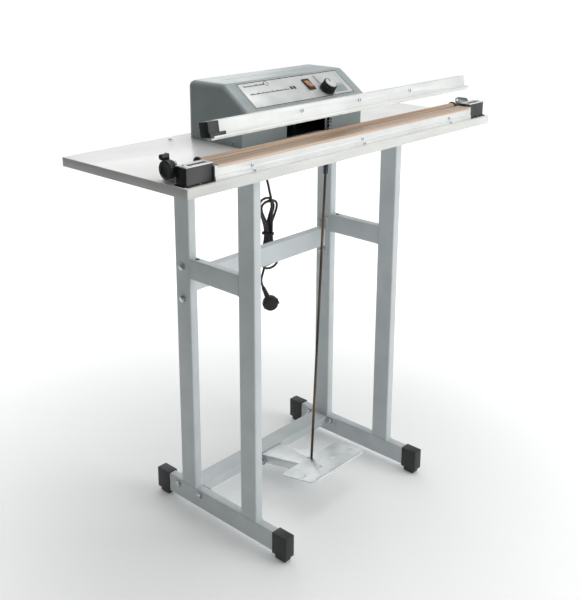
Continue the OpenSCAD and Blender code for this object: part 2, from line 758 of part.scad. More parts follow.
// Cloth: down over the front edge, flat over the jaw, down behind it and on to the roll
cloth_low_y = jaw_setback - 0.2;
cloth_back_y = jaw_setback + jaw_depth + 0.4;
module ptfe_cloth() {
    bed = cloth_top - cloth_t;
    roll_low = roll_z - roll_r - 0.4;
    c = cloth_t;
    color("#c9ac86")
    deck() along_x(-roll_half, roll_half)
    polygon([[cloth_low_y - c, bed - 5], [cloth_low_y, bed - 5], [cloth_low_y, bed], [cloth_back_y, bed],
        [roll_y - 3.6, roll_low - c], [roll_y, roll_low - c], [roll_y, roll_low], [roll_y - 3.4, roll_low],
        [cloth_back_y + c, bed + c], [cloth_low_y - c, bed + c]]);
}
module cloth_roll() {
    color("#c9ac86")
    deck() translate([0, roll_y, roll_z]) difference() {
        bar_x(-roll_half, roll_half, roll_r);
        bar_x(-roll_half - 1, roll_half + 1, core_r + gap);
    }
}
roll_bracket_x = table_len / 2 - 21;
roll_bracket_t = 3;
disc_t = 4;
disc_gap = 0.2;
module roll_core() {
    color("#202326")
    deck() translate([0, roll_y, roll_z]) {
        bar_x(-roll_bracket_x - 12, roll_bracket_x + 8, core_r);
        for (x = [-roll_half - disc_gap - disc_t, roll_half + disc_gap]) bar_x(x, x + disc_t, roll_r + 2.5);
    }
}
module roll_knob() {
    knob_len = 13;
    flutes = 18;
    color("#1c1f22")
    deck() translate([-table_len / 2 + 1, roll_y, roll_z])
    difference() {
        bar_x(0, knob_len, roll_knob_r);
        for (k = [0 : flutes - 1]) rotate([360 / flutes * k, 0, 0]) translate([0, 0, roll_knob_r + 0.6])
            bar_x(3, knob_len + 1, 1.6);
        bar_x(-1, 1.2, roll_knob_r - 5);
        bar_x(knob_len - 9, knob_len + 1, core_r + gap);
    }
}
// An angle bracket: upright plate with a bearing hole, foot screwed to the board
module roll_bracket(s) {
    color("#8f979b")
    deck() mirror([s < 0 ? 1 : 0, 0, 0])
    difference() {
        union() {
            along_x(roll_bracket_x, roll_bracket_x + roll_bracket_t)
                polygon([[roll_y - 9, 0], [roll_y + 26, 0], [roll_y + 26, roll_z + 10], [roll_y + 18, roll_z + 14],
                    [roll_y - 4, roll_z + 14], [roll_y - 9, roll_z + 8]]);
            block([roll_bracket_x - 16, roll_y - 3, 0], [roll_bracket_x, roll_y + 26, 3]);
        }
        translate([0, roll_y, roll_z]) bar_x(roll_bracket_x - 1, roll_bracket_x + 5, core_r + run_gap);
        translate([0, lever_pin[0], lever_pin[1]])
            bar_x(roll_bracket_x - 1, roll_bracket_x + 5, lever_pin_r + run_gap);
        for (t = [4, 19]) translate([roll_bracket_x - 9, roll_y + t, -1]) cylinder(h = 6, r = 2.2);
    }
}
module left_roll_bracket() roll_bracket(-1);
module right_roll_bracket() roll_bracket(1);

// A small lever that drops by its own weight towards the knob and stops the roll
lever_pin = [roll_y + 21, roll_z + 6];
lever_pin_r = 2.5;
lever_t = 2.2;
grip_at = [roll_y + 12, roll_z + 20];
grip_r = 5;
module roll_lock_lever() {
    x = -roll_bracket_x - roll_bracket_t - 0.3;
    color("#9aa0a3")
    deck() {
        along_x(x - lever_t, x)
            polygon([lever_pin + [5, -3], lever_pin + [4, 5], grip_at + [5, 5], grip_at + [-4, 5],
                grip_at + [-5, -4], lever_pin + [-5, -4]]);
        translate([0, lever_pin[0], lever_pin[1]]) bar_x(x - lever_t - 1, x + roll_bracket_t + 1.8, lever_pin_r);
        translate([0, grip_at[0], grip_at[1]]) bar_x(-table_len / 2 + 2, x - lever_t + 0.1, grip_r);
    }
}

// ---------- end covers ----------

module end_cover(s) {
    x0 = seal_len / 2;
    x1 = x0 + cover_len;
    top = cover_h - cover_wall;
    color("#24272a")
    deck() mirror([s < 0 ? 1 : 0, 0, 0]) {
        block([x0 + gap, cover_y0, 0], [x1, cover_y0 + cover_wall, top]);
        block([x1 - cover_wall, cover_y0, 0], [x1, cover_y1, top]);
        block([x0 + gap, cover_y1 - cover_wall, 0], [x1, cover_y1, top]);
        block([x0 + gap, cover_y0 - 6, 0], [x1 + 1.5, cover_y0 + cover_wall, cover_wall]);
        block([x1 - cover_wall, cover_y0, 0], [x1 + 5, cover_y1, cover_wall]);
    }
}
module left_end_cover() end_cover(-1);
module right_end_cover() end_cover(1);
module cover_plate(s) {
    x0 = seal_len / 2;
    x1 = x0 + cover_len;
    top = cover_h - cover_wall;
    color("#cfd2d2")
    deck() mirror([s < 0 ? 1 : 0, 0, 0])
    difference() {
        block([x0 + gap, cover_y0, top], [x1, cover_y1, cover_h]);
        block([x0 + 7, jaw_mid_y - 4, top - 1], [x1 - 12, jaw_mid_y + 6, cover_h + 1]);
    }
}
module left_cover_plate() cover_plate(-1);
module right_cover_plate() cover_plate(1);

// Insulating block that holds the element's end under a screwed clamp
module terminal_block(s) {
    x0 = seal_len / 2 + 3;
    top = jaw_h + strip_t - gap;
    color("#4a3b2c")
    deck() mirror([s < 0 ? 1 : 0, 0, 0]) {
        block([x0, jaw_mid_y - 8, 0], [x0 + 44, jaw_mid_y + 8, top]);
        translate([x0 + 12, jaw_mid_y - 6, top + element_t + 3 * gap]) cube([20, 12, 1.5]);
    }
}
module left_terminal_block() terminal_block(-1);
module right_terminal_block() terminal_block(1);

// ---------- housing ----------

// Side outline of the housing's sheet, t in from its outer faces
module housing_side(t) {
    front = housing_y - lip_out + t;
    back = housing_y + housing_depth - t;
    polygon([[housing_y + t, -5], [back, -5], [back, housing_h - t],
        [slope_top_y + t * tan(slope_a / 2), housing_h - t],
        [front, slope_foot_z + t * tan(slope_a) - t / cos(slope_a)], [front, slope_foot_z - 4 + t],
        [housing_y + t, slope_foot_z - 4 + t]]);
}
// The housing from the front, with its two upper edges rounded
module housing_front(t) {
    r = housing_r;
    half = housing_w / 2;
    for (s = [-1, 1]) translate([s * (half - r), housing_h - r]) circle(r = r - t);
    translate([r - half, -5]) square([2 * (half - r), housing_h - t + 5]);
    translate([t - half, -5]) square([2 * (half - t), housing_h - r + 5]);
}
module housing_form(t) {
    intersection() {
        along_x(-housing_w, housing_w) housing_side(t);
        translate([0, table_depth, 0]) rotate([90, 0, 0]) linear_extrude(table_depth) housing_front(t);
    }
}
module housing() {
    color("#8b979b")
    difference() {
        deck() difference() {
            housing_form(0);
            housing_form(sheet_t);
            translate([-housing_w, 0, -100]) cube([2 * housing_w, 2 * table_depth, 100]);
        }
        deck() block([pull_x - 62, housing_y - 4, -1], [pull_x + 62, housing_y + 8, slope_foot_z - 6]);
        on_slope(knob_x, knob_d0) cylinder(h = 20, r = pot_hole_r, center = true);
        on_slope(switch_x, switch_d) cube(switch_hole, center = true);
        deck() translate([gland_x, housing_y + housing_depth, gland_z]) rotate([90, 0, 0])
            cylinder(h = 20, r = gland_r + 2 * gap, center = true);
        for (k = [0 : 7]) deck() block([-150 + k * 14, housing_y + housing_depth - 5, 78],
            [-144 + k * 14, housing_y + housing_depth + 5, 100]);
        for (s = [-1, 1]) for (y = housing_screw_y)
            deck() translate([s * housing_w / 2, y, 6]) bar_x(-10, 10, 2.2);
    }
}
housing_screw_y = [housing_y + 23, housing_y + housing_depth - 22];
module housing_screws() {
    color("#c9ccce")
    deck() for (s = [-1, 1]) mirror([s < 0 ? 1 : 0, 0, 0]) for (y = housing_screw_y)
        translate([housing_w / 2, y, 6]) {
            bar_x(-8, 0.1, 2);
            bar_x(0, 2.6, 4.4);
        }
}
module control_label() {
    color("#d9dbd8")
    on_slope(0, 0)
    difference() {
        translate([-label_half, -label_to, gap]) cube([2 * label_half, label_to - label_from, label_t]);
        translate([knob_x, -knob_d0, -1]) cylinder(h = 4, r = pot_hole_r);
        translate([switch_x, -switch_d, 0]) cube(switch_hole, center = true);
    }
}

// ---------- controls ----------

rocker_w = switch_w - 7;
rocker_len = switch_len - 8;
rocker_gap = 0.4;
rocker_pin_r = 1.5;
switch_hole = [switch_w - 2 + 2 * gap, switch_len - 3 + 2 * gap, switch_deep];
module switch_body() {
    face = label_t + 2 * gap;
    color("#1c1f22")
    on_slope(switch_x, switch_d)
    difference() {
        union() {
            translate([-switch_w / 2, -switch_len / 2, face]) cube([switch_w, switch_len, 2]);
            translate([-switch_w / 2 + 1, -switch_len / 2 + 1.5, -switch_deep])
                cube([switch_w - 2, switch_len - 3, switch_deep + face]);
        }
        translate([-rocker_w / 2 - rocker_gap, -rocker_len / 2 - rocker_gap, -12])
            cube([rocker_w + 2 * rocker_gap, rocker_len + 2 * rocker_gap, 20]);
        bar_x(-rocker_w / 2 - 1.8, rocker_w / 2 + 1.8, rocker_pin_r + run_gap);
    }
}
// The rocker turns about a pin across the switch; at rest its lower end stands out
module switch_rocker() {
    half = rocker_len / 2 - 0.6;
    color("#e0a070")
    on_slope(switch_x, switch_d) {
        along_x(-rocker_w / 2, rocker_w / 2)
            polygon([[-half, -5], [-half, 7], [-1, 3.4], [half - 0.4, 2.6], [half - 0.4, -1], [3, -9], [-3, -9]]);
        bar_x(-rocker_w / 2 - 1.6, rocker_w / 2 + 1.6, rocker_pin_r);
    }
}
module timer_knob() {
    color("#1c1f22")
    on_slope(knob_x, knob_d0)
    difference() {
        union() {
            translate([0, 0, label_t + 0.8]) cylinder(h = 5, r = knob_d / 2);
            translate([0, 0, label_t + 0.8]) cylinder(h = knob_h, r = knob_d / 2 - 1.6);
        }
        for (k = [0 : 17]) rotate([0, 0, 20 * k]) translate([knob_d / 2 - 0.8, 0, 7.6]) cylinder(h = knob_h, r = 1.4);
        translate([0, 0, -1]) cylinder(h = 14, r = pot_r + run_gap);
    }
}
// Potentiometer, its shaft, and the timer's printed board with its parts
module timer_board() {
    color("#2f6b45")
    on_slope(knob_x, knob_d0) {
        translate([0, 0, -13]) cylinder(h = 13 - sheet_t - gap, r = 11);
        translate([0, 0, -3]) cylinder(h = 15, r = pot_r);
        translate([-18, -16, -16]) cube([84, 48, 3.2]);
        translate([28, -8, -13]) cube([22, 16, 9]);
        translate([24, 18, -13]) cylinder(h = 9, r = 6);
    }
}
module transformer() {
    x0 = -140;
    y0 = pivot_y - 40;
    color("#6d7378")
    deck() {
        difference() {
            block([x0, y0, 0], [x0 + 74, y0 + 30, 62]);
            for (x = [x0 + 14, x0 + 44]) block([x, y0 - 1, 12], [x + 16, y0 + 31, 50]);
        }
        difference() {
            block([x0 + 14.5, y0 - 14, 12.5], [x0 + 59.5, y0 + 44, 49.5]);
            block([x0 + 29.5, y0 - 15, 11], [x0 + 44.5, y0 + 45, 51]);
        }
    }
}
// Start switch: a block on a bridge between the bearing brackets, pressed by the arm's tail
module start_switch() {
    color("#2b2e33")
    deck() translate([pull_x, 0, 0])
    difference() {
        union() {
            block([-bracket_x - bracket_t, bridge_y[0], switch_z],
                [bracket_x + bracket_t, bridge_y[1], switch_z + 2]);
            block([-10, bridge_y[0], switch_z], [10, bridge_y[1], switch_z + 18]);
        }
        translate([0, tail_mid_y, switch_z - 1]) cylinder(h = 15, r = 1.6);
    }
}
module start_plunger() {
    low = tail_low + tail_t - 2.2;
    color("#b04030")
    deck() translate([pull_x, tail_mid_y, low]) cylinder(h = switch_z + 8 - low, r = 1.5);
}

// ---------- mains cord ----------

module cord_gland() {
    y0 = table_front + housing_y + housing_depth;
    color("#1c1f22")
    translate([gland_x, 0, table_h + gland_z]) rotate([-90, 0, 0]) {
        translate([0, 0, y0 - 4]) cylinder(h = 5, r = gland_r);
        translate([0, 0, y0 + gap]) cylinder(h = 6, r = gland_r + 3.5);
        translate([0, 0, y0 + 6]) cylinder(h = gland_len - 6, r1 = gland_r + 1, r2 = cord_d / 2 + 1.2);
    }
}
module mains_cord() {
    color("#17191b") {
        sweep(cord_drop, cord_d / 2, 10, [1, 0, 0]);
        sweep(cord_tail, cord_d / 2, 10, [1, 0, 0]);
    }
}
module cord_hank() {
    r = hank_size[0] / 2;
    color("#17191b")
    translate(hank_mid) rotate([90, 0, 0]) linear_extrude(hank_size[1], center = true)
    hull() for (t = [-1, 1]) translate([0, t * (hank_size[2] / 2 - r)]) circle(r = r, $fn = 32);
}
// Angled plug: a round body with its pins behind it and a neck that leans up to the cord
module plug() {
    color("#1c1f22")
    translate(plug_at) rotate([0, 0, plug_turn]) rotate([0, plug_lean, 0]) {
        rotate([-90, 0, 0]) translate([0, 0, -plug_t / 2]) cylinder(h = plug_t, r = plug_r);
        translate([0, 0, plug_r - 3]) cylinder(h = plug_neck - plug_r + 3, r1 = 7.5, r2 = 5);
        for (s = [-1, 1]) translate([s * 9.5, plug_t / 2 - 1, 0]) rotate([-90, 0, 0]) cylinder(h = 20, r = 2.4);
    }
}

// ---------- drawing ----------

table_top();
left_foot_rail();
right_foot_rail();
foot_caps();
left_front_leg();
right_front_leg();
left_rear_leg();
right_rear_leg();
left_side_rail();
right_side_rail();
back_crossbar();
bottom_crossbar();
frame_bolts();
table_bolts();
foot_pedal();
pedal_bolt();
pull_rod();
rod_nuts();
rod_bush();
return_spring();
jaw_arm();
pivot_shaft();
left_bearing_bracket();
right_bearing_bracket();
upper_jaw();
silicone_strip();
upper_jaw_left_cap();
upper_jaw_right_cap();
upper_jaw_screws();
lower_jaw();
insulation_strip();
heating_element();
ptfe_cloth();
cloth_roll();
roll_core();
roll_knob();
left_roll_bracket();
right_roll_bracket();
roll_lock_lever();
left_end_cover();
right_end_cover();
left_cover_plate();
right_cover_plate();
left_terminal_block();
right_terminal_block();
lower_jaw_screws();
housing();
housing_screws();
control_label();
switch_body();
switch_rocker();
timer_knob();
timer_board();
transformer();
start_switch();
start_plunger();
cord_gland();
mains_cord();
cord_hank();
plug();
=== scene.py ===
# %% [markdown]
# # A foot-operated impulse heat sealer
# The machine is a white board on a stand of welded steel tube. A long aluminium jaw swings down
# on a heated bar when the pedal is pressed, and a sheet-metal housing behind it holds the timer.
# The measured frame comes in first, and every piece below takes its place from it.

# %% Load the frame
import math
import random
import bmesh
import bpy
from mathutils import Matrix, Vector


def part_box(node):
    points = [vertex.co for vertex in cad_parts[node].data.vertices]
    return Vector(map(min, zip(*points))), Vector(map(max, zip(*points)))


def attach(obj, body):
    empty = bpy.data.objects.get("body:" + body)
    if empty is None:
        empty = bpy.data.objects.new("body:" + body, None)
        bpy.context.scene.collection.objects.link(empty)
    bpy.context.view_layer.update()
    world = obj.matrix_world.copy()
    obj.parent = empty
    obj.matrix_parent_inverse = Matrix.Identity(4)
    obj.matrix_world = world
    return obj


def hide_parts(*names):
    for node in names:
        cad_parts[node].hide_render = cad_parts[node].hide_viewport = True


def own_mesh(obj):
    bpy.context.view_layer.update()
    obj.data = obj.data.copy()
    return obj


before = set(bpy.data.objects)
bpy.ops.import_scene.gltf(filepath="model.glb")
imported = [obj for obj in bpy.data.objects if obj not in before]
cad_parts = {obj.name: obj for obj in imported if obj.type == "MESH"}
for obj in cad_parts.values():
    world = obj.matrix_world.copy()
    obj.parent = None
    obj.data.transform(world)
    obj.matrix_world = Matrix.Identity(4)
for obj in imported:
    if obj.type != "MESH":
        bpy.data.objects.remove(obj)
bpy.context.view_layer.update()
MM = 0.001

# %% [markdown]
# ## The camera
# The viewer stands a little to the left of the machine and looks slightly down at it. A small
# downward shift keeps the uprights nearly parallel, the way a product picture is taken.

# %% Camera
camera = bpy.data.objects.new("camera", bpy.data.cameras.new("camera"))
bpy.context.collection.objects.link(camera)
bpy.context.scene.camera = camera
camera.data.sensor_width = 36
camera.data.lens = 55.15
camera.data.shift_y = -0.1583
camera.location = (-1.4383, -1.3045, 1.2374)
YAW, PITCH, ROLL = 0.8307, 0.2760, 0.0040
look = Matrix.Rotation(-YAW, 3, "Z") @ Matrix.Rotation(math.pi / 2 - PITCH, 3, "X")
look = look @ Matrix.Rotation(ROLL, 3, "Z")
camera.rotation_euler = look.to_euler()
RIGHT, BACK, UP = (1, 0, 0), (0, 1, 0), (0, 0, 1)  # along the table, from the operator, from the floor
print("lens", round(camera.data.lens, 1), "mm")

# %% [markdown]
# ## Floor and light
# A white floor glows more the farther it lies from the machine, so it has no edge and no horizon;
# far out on the left, behind the viewer, it is dark like a studio flag.
# The white sky dims towards the left, so faces turned that way stand in soft shade and the shapes
# read. A large lamp in front lights the faces towards the operator, one above lights the board,
# and a weak one behind draws the rims.

# %% Floor, sky and lamps
def linear(code):
    """An sRGB hex colour as linear red, green, blue and alpha."""
    parts = [int(code[i:i + 2], 16) / 255 for i in (1, 3, 5)]
    return [p / 12.92 if p <= 0.04045 else ((p + 0.055) / 1.055) ** 2.4 for p in parts] + [1.0]


def add(tree, kind, inputs=(), **settings):
    """Adds a node with its settings, and links or sets its inputs."""
    made = tree.nodes.new(kind)
    for name, value in settings.items():
        setattr(made, name, value)
    for name, value in dict(inputs).items():
        if isinstance(value, bpy.types.NodeSocket):
            tree.links.new(value, made.inputs[name])
        else:
            made.inputs[name].default_value = value
    return made


def lamp(name, place, aim, size, power, warmth=(1, 1, 1)):
    """A square soft light at a place, turned to its aim."""
    light = bpy.data.lights.new(name, "AREA")
    light.size, light.energy, light.color = size, power, warmth
    made = bpy.data.objects.new(name, light)
    bpy.context.collection.objects.link(made)
    made.location = place
    made.rotation_euler = (Vector(aim) - Vector(place)).to_track_quat("-Z", "Y").to_euler()
    return made


def build(name, verts, faces, smooth=False):
    """A mesh object in the row frame, with its normals turned outwards."""
    mesh = bpy.data.meshes.new(name)
    mesh.from_pydata([tuple(v) for v in verts], [], faces)
    bm = bmesh.new()
    bm.from_mesh(mesh)
    bmesh.ops.remove_doubles(bm, verts=bm.verts, dist=1e-6)
    bmesh.ops.recalc_face_normals(bm, faces=bm.faces)
    bm.to_mesh(mesh)
    bm.free()
    for polygon in mesh.polygons:
        polygon.use_smooth = smooth
    made = bpy.data.objects.new(name, mesh)
    bpy.context.collection.objects.link(made)
    return made


bpy.context.scene.view_settings.view_transform = "Standard"
world = bpy.data.worlds.new("studio")
bpy.context.scene.world = world
world.use_nodes = True
sky = world.node_tree
way = add(sky, "ShaderNodeSeparateXYZ", {"Vector": add(sky, "ShaderNodeTexCoord").outputs["Generated"]})
dim = add(sky, "ShaderNodeMapRange", {"Value": way.outputs["X"], "From Min": -0.95, "From Max": 0.45,
                                      "To Min": 0.2, "To Max": 1.04}, interpolation_type="SMOOTHSTEP")
zenith = add(sky, "ShaderNodeMapRange", {"Value": way.outputs["Z"], "From Min": 0.06, "From Max": 0.32,
                                         "To Min": 1.0, "To Max": 0.6}, interpolation_type="SMOOTHSTEP")
dim = add(sky, "ShaderNodeMath", {0: dim.outputs["Result"], 1: zenith.outputs["Result"]},
          operation="MULTIPLY")
background = sky.nodes["Background"]
background.inputs["Color"].default_value = linear("#FBFCFC")
sky.links.new(dim.outputs["Value"], background.inputs["Strength"])
lamp("front_light", (1.3, -3.0, 1.7), (0, 0, 0.6), 2.2, 42, (1, 0.99, 0.97))
lamp("top_light", (0.5, -0.2, 3.4), (0, 0, 0.8), 1.8, 26)
lamp("back_light", (1.6, 2.6, 2.0), (0, 0, 0.6), 1.6, 10)
floor = build("floor", [(-14, -14, 0), (14, -14, 0), (14, 14, 0), (-14, 14, 0)], [(0, 1, 2, 3)])
studio = bpy.data.materials.new("white_sweep")
studio.use_nodes = True
ground = studio.node_tree
far = add(ground, "ShaderNodeVectorMath", {0: add(ground, "ShaderNodeNewGeometry").outputs["Position"]},
          operation="LENGTH")
glow = add(ground, "ShaderNodeMapRange", {"Value": far.outputs["Value"], "From Min": 0.3, "From Max": 1.6,
                                          "To Min": 0.12, "To Max": 0.62}, interpolation_type="SMOOTHSTEP")
left = add(ground, "ShaderNodeSeparateXYZ", {"Vector": far.inputs[0].links[0].from_socket})
lit = add(ground, "ShaderNodeMapRange", {"Value": left.outputs["X"], "From Min": -1.7, "From Max": -0.85},
          interpolation_type="SMOOTHSTEP")
glow = add(ground, "ShaderNodeMath", {0: glow.outputs["Result"], 1: lit.outputs["Result"]},
           operation="MULTIPLY")
tone = add(ground, "ShaderNodeValToRGB", {"Fac": lit.outputs["Result"]})
tone.color_ramp.elements[0].color, tone.color_ramp.elements[1].color = linear("#5A5C5E"), linear("#F0F1F1")
matt = ground.nodes["Principled BSDF"]
ground.links.new(tone.outputs["Color"], matt.inputs["Base Color"])
matt.inputs["Roughness"].default_value = 0.9
matt.inputs["Emission Color"].default_value = (1, 1, 1, 1)
ground.links.new(glow.outputs["Value"], matt.inputs["Emission Strength"])
floor.data.materials.append(studio)

# %% [markdown]
# ## Helpers for shapes
# Most parts of this machine are sheet, tube and turned parts. Three helpers cover them: a tube
# swept along points, a solid turned round an axis, and an outline given a thickness. A part from
# the frame whose shape is right is only softened: its edges get a small round, as any bent,
# moulded or deburred edge has, and that line of light is what makes it look solid.

# %% Helpers
def finish_piece(piece, body, material, nodes=()):
    """Gives a piece its body, its material and the CAD nodes it stands for."""
    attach(piece, body)
    if nodes:
        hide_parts(*nodes)
    piece.data.materials.clear()
    piece.data.materials.append(material)
    return piece


def apply_modifiers(piece):
    """Turns a piece's modifiers into plain mesh."""
    bpy.context.view_layer.update()
    graph = bpy.context.evaluated_depsgraph_get()
    mesh = bpy.data.meshes.new_from_object(piece.evaluated_get(graph))
    piece.modifiers.clear()
    piece.data = mesh
    return piece


def round_edges(piece, width, segments=2, angle=35):
    """Rounds the sharp edges of a piece, width in metres."""
    bevel = piece.modifiers.new("round", "BEVEL")
    bevel.width = width
    bevel.segments = segments
    bevel.limit_method = "ANGLE"
    bevel.angle_limit = math.radians(angle)
    bevel.use_clamp_overlap = True
    bevel.harden_normals = False
    apply_modifiers(piece)
    for polygon in piece.data.polygons:
        polygon.use_smooth = True
    bm = bmesh.new()
    bm.from_mesh(piece.data)
    for edge in bm.edges:
        edge.smooth = edge.calc_face_angle(0) < math.radians(40)
    bm.to_mesh(piece.data)
    bm.free()
    return piece


def soften(node, width, body, material, segments=2):
    """A copy of a CAD node with rounded edges, which stands for it."""
    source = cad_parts[node]
    mesh = source.data.copy()
    mesh.transform(source.matrix_world)
    piece = bpy.data.objects.new("soft_" + node, mesh)
    bpy.context.collection.objects.link(piece)
    bm = bmesh.new()
    bm.from_mesh(mesh)
    bmesh.ops.remove_doubles(bm, verts=bm.verts, dist=1e-6)
    bmesh.ops.dissolve_limit(bm, angle_limit=math.radians(1), verts=bm.verts, edges=bm.edges)
    bm.to_mesh(mesh)
    bm.free()
    round_edges(piece, width, segments)
    return finish_piece(piece, body, material, [node])


def sweep(name, points, radius, sides=12, closed=False):
    """A round tube along points, with its ends closed unless it is a ring."""
    points = [Vector(p) for p in points]
    count = len(points)
    verts, faces = [], []
    up = None
    for i, p in enumerate(points):
        before = points[i - 1] if closed or i else p
        after = points[(i + 1) % count] if closed or i < count - 1 else p
        along = (after - before).normalized()
        if up is None:
            up = along.orthogonal().normalized()
        up = (up - along * up.dot(along)).normalized()
        side = along.cross(up)
        r = radius(i / (count - 1)) if callable(radius) else radius
        for k in range(sides):
            turn = 2 * math.pi * k / sides
            verts.append(p + r * (math.cos(turn) * up + math.sin(turn) * side))
    for i in range(count if closed else count - 1):
        a, b = i * sides, (i + 1) % count * sides
        for k in range(sides):
            j = (k + 1) % sides
            faces.append((a + k, a + j, b + j, b + k))
    if not closed:
        faces.append(tuple(range(sides))[::-1])
        faces.append(tuple(range((count - 1) * sides, count * sides)))
    return build(name, verts, faces, smooth=True)


def turned(name, profile, place, axis, sides=48):
    """A solid of revolution: profile holds (radius, height) pairs along an axis from a place."""
    axis = Vector(axis).normalized()
    across = axis.orthogonal().normalized()
    other = axis.cross(across)
    verts, faces = [], []
    for radius, height in profile:
        for k in range(sides):
            turn = 2 * math.pi * k / sides
            rim = math.cos(turn) * across + math.sin(turn) * other
            verts.append(Vector(place) + axis * height + rim * radius)
    for i in range(len(profile) - 1):
        for k in range(sides):
            j = (k + 1) % sides
            faces.append((i * sides + k, i * sides + j, (i + 1) * sides + j, (i + 1) * sides + k))
    faces.append(tuple(range(sides))[::-1])
    faces.append(tuple(range((len(profile) - 1) * sides, len(profile) * sides)))
    made = build(name, verts, faces, smooth=True)
    return sharpen(made, 30)


def sharpen(piece, degrees):
    """Keeps edges sharper than an angle as true edges under smooth shading."""
    bm = bmesh.new()
    bm.from_mesh(piece.data)
    for edge in bm.edges:
        edge.smooth = edge.calc_face_angle(0) < math.radians(degrees)
    for face in bm.faces:
        face.smooth = True
    bm.to_mesh(piece.data)
    bm.free()
    return piece


def slab(name, outline, thickness, at, across, up, rounded=0.0):
    """An outline in the plane of across and up, centred on a place, given a thickness."""
    across, up = Vector(across).normalized(), Vector(up).normalized()
    normal = across.cross(up)
    base = [Vector(at) + across * x + up * y for x, y in outline]
    count = len(base)
    verts = base + [p + normal * thickness for p in base]
    faces = [tuple(range(count))[::-1], tuple(range(count, 2 * count))]
    faces += [(k, (k + 1) % count, (k + 1) % count + count, k + count) for k in range(count)]
    made = build(name, verts, faces)
    return round_edges(made, rounded) if rounded else made


def rectangle(width, height, radius=0.0, steps=5):
    """A centred rectangle with its corners rounded by arcs."""
    corners = [(1, 1, 0), (-1, 1, 90), (-1, -1, 180), (1, -1, 270)]
    if radius == 0:
        return [(x * width / 2, y * height / 2) for x, y, _ in corners]
    outline = []
    for x, y, start in corners:
        for k in range(steps + 1):
            turn = math.radians(start + 90 * k / steps)
            outline.append((x * (width / 2 - radius) + radius * math.cos(turn),
                            y * (height / 2 - radius) + radius * math.sin(turn)))
    return outline


def smooth_route(points, per_span=6):
    """Points along a soft curve that passes through the given points."""
    points = [Vector(p) for p in points]
    made = []
    for i in range(len(points) - 1):
        a = points[max(i - 1, 0)]
        b, c = points[i], points[i + 1]
        d = points[min(i + 2, len(points) - 1)]
        for k in range(per_span):
            t = k / per_span
            made.append(0.5 * (2 * b + (c - a) * t + (2 * a - 5 * b + 4 * c - d) * t ** 2
                               + (3 * b - a - 3 * c + d) * t ** 3))
    return made + [points[-1]]


# %% [markdown]
# ## Materials
# Each is named for what it is. Scales come from a real size: a pattern of so many millimetres
# has a scale of one over that size in metres. All of them use object coordinates, which are the
# machine's own metres here, so the grain has the same size on every part.

# %% Material base
def material(name, colour, metallic=0.0, roughness=0.5, **extra):
    """A material with a Principled shader, and the tree, the shader and the coordinates."""
    made = bpy.data.materials.new(name)
    made.use_nodes = True
    tree = made.node_tree
    shader = tree.nodes["Principled BSDF"]
    shader.inputs["Base Color"].default_value = linear(colour)
    shader.inputs["Metallic"].default_value = metallic
    shader.inputs["Roughness"].default_value = roughness
    for key, value in extra.items():
        shader.inputs[key.replace("_", " ")].default_value = value
    place = add(tree, "ShaderNodeTexCoord").outputs["Object"]
    return made, tree, shader, place


def noise(tree, place, size_mm, detail=3.0, rough=0.5, stretch=None):
    """Noise whose features are about size_mm across, longer along any stretched axis."""
    if stretch:
        place = add(tree, "ShaderNodeMapping", {"Vector": place, "Scale": stretch}).outputs["Vector"]
    settings = {"Vector": place, "Scale": 1000 / size_mm, "Detail": detail, "Roughness": rough}
    return add(tree, "ShaderNodeTexNoise", settings).outputs["Fac"]


def vary(tree, shader, mask, dark, light, low=0.35, high=0.65):
    """Colour that drifts between two tones by a mask."""
    ramp = add(tree, "ShaderNodeValToRGB", {"Fac": mask})
    ramp.color_ramp.elements[0].position, ramp.color_ramp.elements[1].position = low, high
    ramp.color_ramp.elements[0].color, ramp.color_ramp.elements[1].color = linear(dark), linear(light)
    tree.links.new(ramp.outputs["Color"], shader.inputs["Base Color"])
    return ramp.outputs["Color"]


def spread(tree, shader, mask, low, high):
    """Roughness that runs from low to high by a mask."""
    span = add(tree, "ShaderNodeMapRange", {"Value": mask, "To Min": low, "To Max": high})
    tree.links.new(span.outputs["Result"], shader.inputs["Roughness"])


def relief(tree, shader, height, depth_mm, strength=1.0):
    """Bump whose full height is depth_mm."""
    bump = add(tree, "ShaderNodeBump", {"Height": height, "Strength": strength, "Distance": depth_mm * MM})
    tree.links.new(bump.outputs["Normal"], shader.inputs["Normal"])
    return bump


# %% [markdown]
# Powder coat is paint baked from dust. It levels into a faint orange peel of one to two
# millimetres, half glossy, and it looks slightly lighter where it is thin on an edge.

# %% Powder coats
def powder_coat(name, dark, light, roughness=0.42):
    made, tree, shader, place = material(name, light, roughness=roughness)
    vary(tree, shader, noise(tree, place, 60), dark, light)
    peel = noise(tree, place, 1.6, detail=2)
    spread(tree, shader, noise(tree, place, 25), roughness - 0.06, roughness + 0.08)
    relief(tree, shader, peel, 0.05, 0.5)
    return made


frame_paint = powder_coat("pale_grey_powder_coat", "#BFC6C8", "#C7CDCF")
housing_paint = powder_coat("mid_grey_powder_coat", "#97A2A3", "#A1ABAC", 0.32)
black_paint = powder_coat("black_powder_coat", "#17191B", "#202326", 0.4)
print("powder coats made")

# %% [markdown]
# The board is chipboard faced with white melamine. The face has a fine crumb texture, and the
# edge is closed with a strip of the same white with a duller gloss; its darker tone is painted shade.

# %% White laminate
laminate, tree, shader, place = material("white_melamine", "#ECECE9", roughness=0.34, Coat_Weight=0.15)
vary(tree, shader, noise(tree, place, 90, detail=5), "#E6E7E5", "#F0F0EE")
relief(tree, shader, noise(tree, place, 0.9, detail=2), 0.02, 0.35)
spread(tree, shader, noise(tree, place, 12), 0.28, 0.42)

# The edge band's darker white is painted shade of the board's sides; its duller gloss is its own.
edge_band_painted_shade, tree, shader, place = material("white_edge_band_painted_shade", "#D9DAD7", roughness=0.5)
vary(tree, shader, noise(tree, place, 30, stretch=(0.2, 0.2, 1)), "#CFD0CD", "#DCDDDA")
relief(tree, shader, noise(tree, place, 0.7), 0.02, 0.3)

